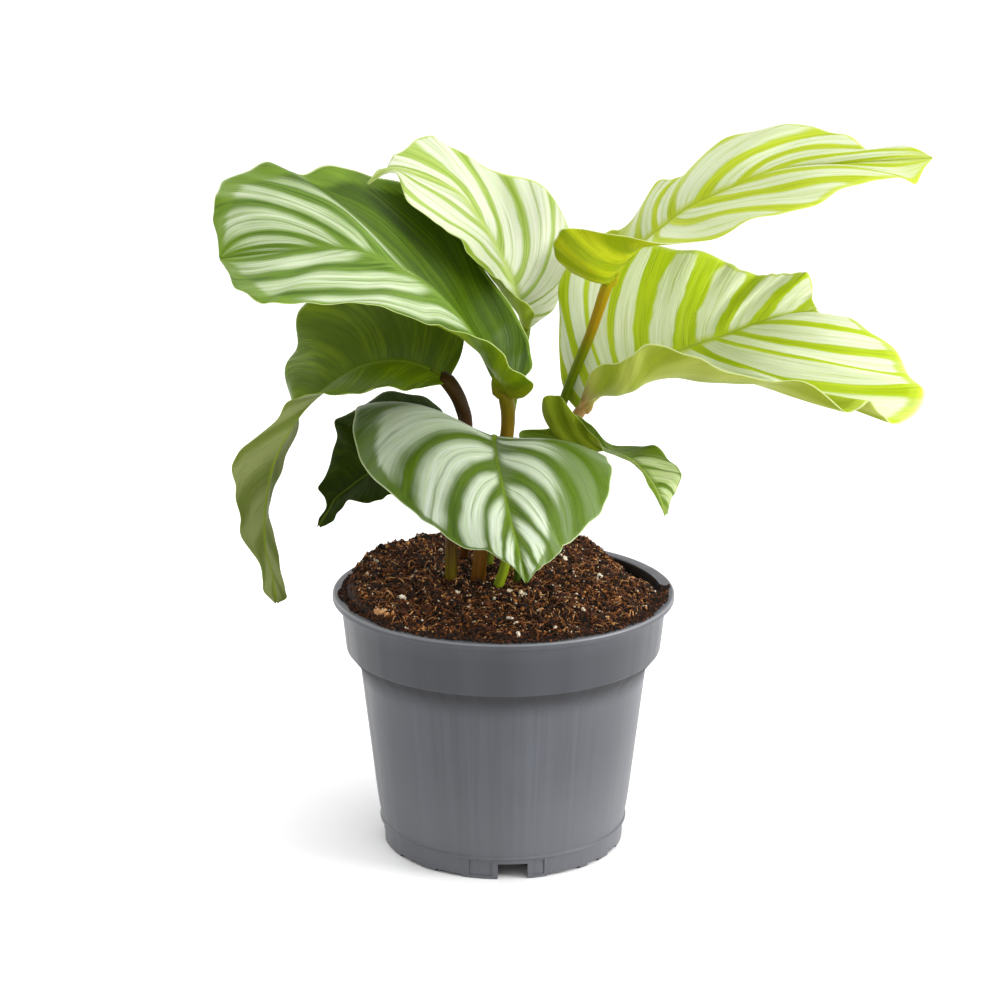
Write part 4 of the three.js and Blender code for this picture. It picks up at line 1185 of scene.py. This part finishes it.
def rounded(outline, steps=5):
    """The outline with each corner replaced by a small arc."""
    points = np.array([(0, 0), *(corner[:2] for corner in outline), (0, WALL)], float)
    made = []
    for before, here, after, (_, _, radius) in zip(points, points[1:], points[2:], outline):
        start, end = (
            here + unit(other - here) * min(radius, 0.45 * np.linalg.norm(other - here))
            for other in (before, after)
        )
        for t in np.linspace(0, 1, steps):
            made.append(start * (1 - t) ** 2 + 2 * here * t * (1 - t) + end * t**2)
    return np.array(made)


def turned(made, place, turn):
    """A cutter moved to its place and then turned round the axis."""
    bmesh.ops.translate(made, vec=place, verts=made.verts)
    bmesh.ops.rotate(made, cent=(0, 0, 0), matrix=Matrix.Rotation(turn, 3, "Z"), verts=made.verts)
    return made


def make_box(low, high, turn):
    """A cutter box between two corners, turned round the axis."""
    made = bmesh.new()
    bmesh.ops.create_cube(made, size=1)
    bmesh.ops.scale(made, vec=Vector(high) - Vector(low), verts=made.verts)
    return turned(made, (Vector(high) + Vector(low)) / 2, turn)


def make_drain(turn):
    """A cutter for one round hole in the floor."""
    made = bmesh.new()
    sizes = {"radius1": DRAIN_RADIUS, "radius2": DRAIN_RADIUS, "depth": 2 * CUTTER_REACH}
    bmesh.ops.create_cone(made, cap_ends=True, segments=32, **sizes)
    return turned(made, (DRAIN_CIRCLE_RADIUS, 0, FLOOR_UNDERSIDE_Z + WALL / 2), turn)


def make_arc(low, high, start, end):
    """A cutter between two radii and two heights, from one angle to another, in degrees from the front."""
    made = bmesh.new()
    turns = np.radians(np.linspace(start, end, 9))
    loop = [(low[0], turn) for turn in turns] + [(high[0], turn) for turn in turns[::-1]]
    rows = [
        [made.verts.new((radius * math.sin(turn), -radius * math.cos(turn), z)) for radius, turn in loop]
        for z in (low[1], high[1])
    ]
    made.faces.new(rows[0][::-1])
    made.faces.new(rows[1])
    for k in range(len(loop)):
        following = (k + 1) % len(loop)
        made.faces.new((rows[0][k], rows[0][following], rows[1][following], rows[1][k]))
    bmesh.ops.recalc_face_normals(made, faces=made.faces)
    return made


def cut(piece, cutters):
    """Cuts closed meshes out of a piece and keeps the result as its mesh."""
    joined = bmesh.new()
    for cutter in cutters:
        data = bpy.data.meshes.new("cutter")
        cutter.to_mesh(data)
        joined.from_mesh(data)
        cutter.free()
        bpy.data.meshes.remove(data)
    bmesh.ops.scale(joined, vec=(MM, MM, MM), verts=joined.verts)
    data = bpy.data.meshes.new("cutters")
    joined.to_mesh(data)
    joined.free()
    tool = bpy.data.objects.new("cutters", data)
    bpy.context.scene.collection.objects.link(tool)
    modifier = piece.modifiers.new("cut", "BOOLEAN")
    modifier.operation = "DIFFERENCE"
    modifier.solver = "EXACT"
    modifier.object = tool
    made = bpy.data.meshes.new_from_object(piece.evaluated_get(bpy.context.evaluated_depsgraph_get()))
    piece.modifiers.clear()
    old = piece.data
    piece.data = made
    made.name = piece.name
    bpy.data.meshes.remove(old)
    bpy.data.objects.remove(tool)
    bpy.data.meshes.remove(data)


def make_pot():
    """The pot's outline turned round the axis, with its notches, sunk fields, gaps and drains cut."""
    outline = rounded(POT_OUTLINE)
    turns = np.linspace(0, 2 * np.pi, POT_SIDES, endpoint=False)
    radii, heights = outline[:, None, 0], outline[:, None, 1] * np.ones(POT_SIDES)
    rings = np.stack([radii * np.cos(turns), radii * np.sin(turns), heights], axis=2).reshape(-1, 3)
    vertices = np.vstack([rings, [[0, 0, 0], [0, 0, WALL]]])
    quads, _ = tube_faces(len(outline), POT_SIDES)
    bottom, top = len(rings), len(rings) + 1
    last = (len(outline) - 1) * POT_SIDES
    faces = quads.tolist()
    for k in range(POT_SIDES):
        following = (k + 1) % POT_SIDES
        faces.append([bottom, following, k])
        faces.append([top, last + k, last + following])
    piece = make_object("pot_shell", vertices, faces, [pot_material()])
    outer = FOOT_RING_RADIUS + CUTTER_REACH
    inner = FOOT_RING_RADIUS - CUTTER_REACH
    cutters = []
    for i in range(NOTCH_COUNT):
        turn = NOTCH_TURN + i * 2 * math.pi / NOTCH_COUNT
        low = (-NOTCH_WIDTH / 2, -outer, -CUTTER_REACH)
        cutters.append(make_box(low, (NOTCH_WIDTH / 2, -inner, NOTCH_HEIGHT), turn))
        for start, end in FOOT_FIELDS if i % 2 == 0 else ():
            low = (FOOT_RING_RADIUS - FOOT_FIELD_DEPTH, FOOT_FIELD_BOTTOM_Z)
            middle = math.degrees(turn)
            cutters.append(make_arc(low, (outer, SHOULDER_Z - 2), middle + start, middle + end))
    for start, end in FOOT_GAPS:
        cutters.append(make_arc((inner, -CUTTER_REACH), (outer, FOOT_GAP_DEPTH), start, end))
    for i in range(DRAIN_COUNT):
        cutters.append(make_drain(NOTCH_TURN + (i + 0.5) * 2 * math.pi / DRAIN_COUNT))
    cut(piece, cutters)
    piece.data.polygons.foreach_set("use_smooth", [True] * len(piece.data.polygons))
    piece.data.set_sharp_from_angle(angle=math.radians(32))
    settle(piece, "pot_plastic", "pot")


# ---- Soil ----

SEAT_GAP = 0.3
SOIL_RADIUS = COLLAR_TOP_RADIUS - WALL - SEAT_GAP
SOIL_CENTRE_Z = 137.5
SOIL_MOUND = 9
HEAP_HEIGHT = 10.5
HEAP_TURN = math.radians(25)
CRUMBLE_SLOPE = 2.2
SOIL_EDGE_DROP = 1
SLUMP_DEPTH = 15
SLUMP_TURN = math.radians(28)
SLUMP_SPREAD = math.radians(19)
SPILL_WIDTH = 6.2
BED_RINGS = 150
BED_CORNERS = 460
CRUMB_COUNT = 6500
SPILL_COUNT = 3600
CLOD_COUNT = 150
FIBRE_COUNT = 4200
SPECK_COUNT = 560


def soil_height(x, y):
    """A mound with a heap at the back, crumbled at the wall and slumped at one place."""
    radius = np.hypot(x, y)
    reach = radius / SOIL_RADIUS
    turn = np.arctan2(y, x)
    heap = HEAP_HEIGHT * np.clip(0.5 + 0.9 * np.sin(turn - HEAP_TURN), 0, 1)
    slump = SLUMP_DEPTH * np.exp(-(((turn - SLUMP_TURN) / SLUMP_SPREAD) ** 2))
    clods = 0.8 * np.sin(x * 0.21 + 1.3) * np.cos(y * 0.17 - 0.4)
    mound = SOIL_CENTRE_Z + clods + (heap - SOIL_MOUND) * reach**2
    crumbled = RIM_HEIGHT - SOIL_EDGE_DROP + CRUMBLE_SLOPE * (SOIL_RADIUS - radius)
    return np.minimum(mound, crumbled) - slump * reach**5


def rough_height(x, y):
    """The soil's height with its lumps and crumbs."""
    lumps = 1.1 * lattice_noise(x / 7, y / 7, 1) + 0.8 * lattice_noise(x / 3.1, y / 3.1, 2)
    crumbs = 0.65 * lattice_noise(x / 1.5, y / 1.5, 3) + 0.35 * lattice_noise(x / 0.8, y / 0.8, 4)
    edge = np.clip((SOIL_RADIUS - np.hypot(x, y)) / 5, 0.15, 1)
    return soil_height(x, y) + (lumps + crumbs) * edge


def pot_inner_radius(z):
    """The radius of the collar's inside at a height."""
    share = (z - COLLAR_BOTTOM_Z - 1.5) / (RIM_HEIGHT - COLLAR_BOTTOM_Z - 1.5)
    return COLLAR_BOTTOM_RADIUS - WALL + COLLAR_TAPER * np.clip(share, 0, 1)


def make_soil_bed(material):
    """The rough top of the soil, with a skirt that goes down into the pot."""
    turns = np.linspace(0, 2 * np.pi, BED_CORNERS, endpoint=False)
    around = np.stack([np.cos(turns), np.sin(turns)], 1)
    radii = SOIL_RADIUS * np.linspace(1, 0.004, BED_RINGS) ** 0.8
    flat = radii[:, None, None] * around
    z = rough_height(flat[..., 0], flat[..., 1])
    flat[0] *= np.minimum(1, (pot_inner_radius(z[0]) - SEAT_GAP) / SOIL_RADIUS)[:, None]
    skirt = (COLLAR_BOTTOM_RADIUS - WALL - 2 * SEAT_GAP) * around
    flat = np.concatenate([skirt[None], flat])
    z = np.vstack([np.full((1, BED_CORNERS), COLLAR_BOTTOM_Z + 2), z])
    rings = np.concatenate([flat, z[..., None]], axis=2)
    quads, ends = tube_faces(len(rings), BED_CORNERS)
    piece = make_object("soil_bed", rings.reshape(-1, 3), quads.tolist() + ends, [material])
    settle(piece, "potting_soil", "soil")


def ball(subdivisions):
    """Points and triangles of a ball of radius 1."""
    made = bmesh.new()
    bmesh.ops.create_icosphere(made, subdivisions=subdivisions, radius=1)
    vertices = np.array([v.co for v in made.verts])
    faces = np.array([[v.index for v in f.verts] for f in made.faces])
    made.free()
    return vertices, faces


def random_turns(count):
    """Random rotations as 3 by 3 matrices."""
    q = rng.normal(size=(count, 4))
    q /= np.linalg.norm(q, axis=1, keepdims=True)
    w, x, y, z = q.T
    rows = [
        [1 - 2 * (y * y + z * z), 2 * (x * y - z * w), 2 * (x * z + y * w)],
        [2 * (x * y + z * w), 1 - 2 * (x * x + z * z), 2 * (y * z - x * w)],
        [2 * (x * z - y * w), 2 * (y * z + x * w), 1 - 2 * (x * x + y * y)],
    ]
    return np.array(rows).transpose(2, 0, 1)


def scatter(name, places, sizes, tints, material, subdivisions=1, ragged=0.3, flatness=0.7):
    """Ragged lumps at places, each turned, stretched and tinted by itself."""
    base, faces = ball(subdivisions)
    count = len(places)
    shapes = base[None] * (1 + ragged * rng.uniform(-1, 1, (count, len(base), 1)))
    shapes = shapes * rng.uniform(flatness, 1.25, (count, 1, 3))
    shapes = np.einsum("nij,nvj->nvi", random_turns(count), shapes)
    vertices = places[:, None] + shapes * sizes[:, None, None]
    all_faces = faces[None] + (np.arange(count) * len(base))[:, None, None]
    piece = make_object(name, vertices.reshape(-1, 3), all_faces.reshape(-1, 3), [material], False)
    add_numbers(piece, "tint", np.repeat(tints, len(base)))
    settle(piece, "potting_soil")


def on_soil(x, y, lift):
    """Points a little above the soil's rough surface."""
    return np.stack([x, y, rough_height(x, y) + lift], 1)


def random_places(count, reach=0.97):
    """Places spread evenly over a disc, given by its share of the soil's radius."""
    radius = SOIL_RADIUS * reach * np.sqrt(rng.uniform(0, 1, count))
    turn = rng.uniform(0, 2 * np.pi, count)
    return radius * np.cos(turn), radius * np.sin(turn)


def spilled(count):
    """Crumbs on the inner part of the lip, all round but where the soil has slumped."""
    turn = rng.uniform(0, 2 * np.pi, 3 * count)
    turn = turn[np.abs((turn - SLUMP_TURN + np.pi) % (2 * np.pi) - np.pi) > 1.25 * SLUMP_SPREAD][:count]
    patches = 0.20 * np.sin(5 * turn + 1) * np.sin(13 * turn) + 0.11 * np.cos(turn + 0.5)
    radius = SOIL_RADIUS - 1 + SPILL_WIDTH * (0.64 + patches) * rng.uniform(0, 1, len(turn))
    height = RIM_HEIGHT + 0.25 + 0.25 * np.maximum(0, SOIL_RADIUS + 1 - radius)
    return np.stack([radius * np.cos(turn), radius * np.sin(turn), height], 1)


def make_fibres(material):
    """Short bent peat fibres that lie on the soil."""
    count, steps, corners = FIBRE_COUNT, 5, 4
    x, y = random_places(count, 0.95)
    lengths = rng.uniform(1.4, 3, count) ** 1.8
    turns = rng.uniform(0, 2 * np.pi, count)
    bends = rng.uniform(-0.9, 0.9, count)
    thick = rng.uniform(0.12, 0.36, count)
    share = np.linspace(-0.5, 0.5, steps)
    heading = turns[:, None] + bends[:, None] * share[None]
    step = lengths[:, None] / (steps - 1)
    px, py = (
        (middle - lengths * 0.5 * wave(turns))[:, None] + np.cumsum(wave(heading) * step, 1)
        for middle, wave in ((x, np.cos), (y, np.sin))
    )
    far = np.maximum(1, np.hypot(px, py) / (SOIL_RADIUS - 1))
    px, py = px / far, py / far
    arch = rng.uniform(0.1, 1.1, count)[:, None] * np.cos(np.pi * share)[None]
    pz = rough_height(px, py) + 0.1 + arch
    along = np.stack([np.cos(heading), np.sin(heading), np.zeros_like(heading)], 2)
    side = np.stack([-np.sin(heading), np.cos(heading), np.zeros_like(heading)], 2)
    up = np.cross(along, side)
    centres = np.stack([px, py, pz], 2)
    taper = thick[:, None] * (0.35 + 0.65 * np.cos(np.pi * share)[None] ** 0.5)
    rings = [
        centres + taper[..., None] * (math.cos(a) * side + math.sin(a) * up)
        for a in np.linspace(0, 2 * np.pi, corners, endpoint=False)
    ]
    vertices = np.stack(rings, 2).reshape(-1, 3)
    quads, ends = tube_faces(steps, corners)
    shift = (np.arange(count) * steps * corners)[:, None, None]
    faces = (quads[None] + shift).reshape(-1, 4).tolist()
    faces += (np.array(ends)[None] + shift).reshape(-1, corners).tolist()
    piece = make_object("soil_fibres", vertices, faces, [material])
    add_numbers(piece, "tint", np.repeat(rng.uniform(0, 1, count) ** 1.4, steps * corners))
    settle(piece, "potting_soil")


# Grains of perlite that stand out, as place and radius.
PERLITE = [
    (-9, -42, 1.4), (3, -24, 1.8), (9, -29, 1.9), (-22, -25, 1.3), (-49, -31, 1.6), (47, 7, 1.8),
    (30, 28, 2.0), (-64, 13, 1.3), (-68, -1, 1.0), (7, -73, 1.2), (24, -64, 1.1), (3, -58, 1.2),
    (6, -61, 1.1), (38, -45, 1.2), (17, -49, 1.0), (-46, -63, 1.0), (-32, 35, 1.2), (-5, -36, 1.2),
]

# Coarse chips of bark at the front left, as place and radius, and how pale each one is.
BARK = [(-58, -46, 2.6), (-61, -45, 1.9), (-56, -49, 1.7), (-53, -49, 1.5)]
BARK_TINTS = [0.95, 0.8, 0.7, 0.75]

CRUMB_BROWNS = [
    (0.0, (18, 8, 1)), (0.3, (54, 26, 5)), (0.6, (112, 60, 18)), (0.8, (176, 108, 46)),
    (1.0, (232, 176, 108)),
]
FIBRE_BROWNS = [(0.0, (48, 22, 4)), (0.4, (106, 56, 18)), (0.75, (166, 98, 42)), (1.0, (222, 166, 104))]
PERLITE_WHITES = [(0.0, (176, 128, 78)), (0.5, (236, 212, 178)), (1.0, (252, 244, 226))]
BARK_BROWNS = [(0.0, (120, 62, 26)), (0.5, (184, 116, 62)), (1.0, (226, 172, 118))]


def make_soil():
    """The bed and all that lies on it, in the order in which the random numbers are drawn."""
    make_soil_bed(soil_material())
    crumb = crumb_material("peat_crumbs", CRUMB_BROWNS)
    x, y = random_places(CRUMB_COUNT)
    sizes = rng.uniform(0.3, 1.0, len(x)) ** 1.5 * 1.1
    scatter("soil_crumbs", on_soil(x, y, 0.1), sizes, rng.uniform(0, 1, len(x)) ** 2.2, crumb)
    places = spilled(SPILL_COUNT)
    sizes = rng.uniform(0.3, 0.85, len(places))
    scatter("soil_spill", places, sizes, rng.uniform(0, 0.8, len(places)) ** 2, crumb, 1, 0.45, 0.5)
    x, y = random_places(CLOD_COUNT, 0.92)
    sizes = rng.uniform(1.1, 2.1, len(x))
    scatter("soil_clods", on_soil(x, y, 0.2), sizes, rng.uniform(0, 0.5, len(x)), crumb, 2, 0.3)
    make_fibres(crumb_material("peat_fibres", FIBRE_BROWNS, 0.75))
    white = crumb_material("perlite", PERLITE_WHITES, 0.8)
    spots = np.repeat(np.array(PERLITE, float), 3, axis=0)
    spots[:, :2] += spots[:, 2:] * rng.uniform(-0.75, 0.75, (len(spots), 2))
    x, y, sizes = spots.T
    sizes = sizes * rng.uniform(0.45, 0.95, len(spots))
    tints = rng.uniform(0.5, 1, len(spots))
    scatter("perlite_grains", on_soil(x, y, 0.9), sizes, tints, white, 2, 0.22, 0.45)
    x, y = random_places(SPECK_COUNT)
    sizes = rng.uniform(0.25, 0.75, len(x)) ** 1.4
    scatter("perlite_specks", on_soil(x, y, 0.8), sizes, rng.uniform(0, 0.85, len(x)), white, 1, 0.25, 0.6)
    x, y, sizes = np.array(BARK).T
    bark = crumb_material("bark", BARK_BROWNS, 0.7)
    scatter("bark_chips", on_soil(x, y, 0.6), sizes, np.array(BARK_TINTS), bark, 2, 0.26, 0.4)


# ---- Stage ----

CAMERA_PLACE = (-0.00184, -1.2973, 0.5495)
CAMERA_PITCH = math.radians(16.07)
CAMERA_ROLL = math.radians(0.14)
CAMERA_LENS = 98.586
FRONT_LIGHT = 0.78
BACK_LIGHT = 1.1
FLOOR_REACH = 9000
FLOOR_Z = -0.2
FLOOR_WHITE = (0.90, 0.90, 0.90)
FLOOR_BRIGHTEST = (0.92, 0.92, 0.92)


def make_camera():
    """The camera that was fitted to the pot in the photo."""
    data = bpy.data.cameras.new("camera")
    data.sensor_width = 36
    data.lens = CAMERA_LENS
    data.clip_end = 50
    camera = bpy.data.objects.new("camera", data)
    forward = Vector((0, math.cos(CAMERA_PITCH), -math.sin(CAMERA_PITCH)))
    level = Vector((1, 0, 0))
    upright = level.cross(forward)
    right = math.cos(CAMERA_ROLL) * level + math.sin(CAMERA_ROLL) * upright
    up = -math.sin(CAMERA_ROLL) * level + math.cos(CAMERA_ROLL) * upright
    turn = Matrix((right, up, -forward)).transposed().to_4x4()
    camera.matrix_world = Matrix.Translation(CAMERA_PLACE) @ turn
    bpy.context.scene.collection.objects.link(camera)
    bpy.context.scene.camera = camera


def make_floor():
    """A wide pale sheet just below the pot."""
    m = Looks("pale_floor")
    m.finish(m.mix(m.clouds(3.0, 2.0), FLOOR_WHITE, FLOOR_BRIGHTEST), 0.7)
    signs = ((-1, -1), (1, -1), (1, 1), (-1, 1))
    corners = [(x * FLOOR_REACH, y * FLOOR_REACH, FLOOR_Z) for x, y in signs]
    floor = make_object("floor", corners, [[0, 1, 2, 3]], [m.material], False)


def add_light(name, kind, place, aim, **settings):
    """A lamp at a place, turned towards the point it aims at."""
    data = bpy.data.lights.new(name, kind)
    for key, value in settings.items():
        setattr(data, key, value)
    light = bpy.data.objects.new(name, data)
    light.location = place
    light.rotation_euler = (Vector(aim) - Vector(place)).to_track_quat("-Z", "Y").to_euler()
    bpy.context.scene.collection.objects.link(light)


def make_lights():
    """White light from all round, dimmer from the front, and soft lamps above, right and behind."""
    scene = bpy.context.scene
    scene.view_settings.view_transform = "Standard"
    world = bpy.data.worlds.new("studio")
    world.use_nodes = True
    tree = world.node_tree
    background = tree.nodes["Background"]
    background.inputs["Color"].default_value = (1, 1, 1, 1)
    split = tree.nodes.new("ShaderNodeSeparateXYZ")
    tree.links.new(tree.nodes.new("ShaderNodeTexCoord").outputs["Generated"], split.inputs[0])
    dimmer = tree.nodes.new("ShaderNodeMapRange")
    tree.links.new(split.outputs["Y"], dimmer.inputs["Value"])
    for socket, value in zip(dimmer.inputs[1:5], (-0.9, 0.1, FRONT_LIGHT, BACK_LIGHT)):
        socket.default_value = value
    tree.links.new(dimmer.outputs[0], background.inputs["Strength"])
    scene.world = world
    middle = (0, 0, 0.2)
    add_light("overhead", "SUN", (0.55, -0.35, 2.0), middle, energy=1.45, angle=math.radians(65))
    add_light("side", "AREA", (1.1, -0.35, 0.45), middle, energy=13, size=0.5)
    add_light("rim_light", "AREA", (-0.7, 1.1, 0.9), middle, energy=4, size=0.8)


make_camera()
make_floor()
make_lights()
for leaf_name in LEAVES:
    make_blade(leaf_name)
    make_stem(leaf_name)
make_soil()
make_pot()
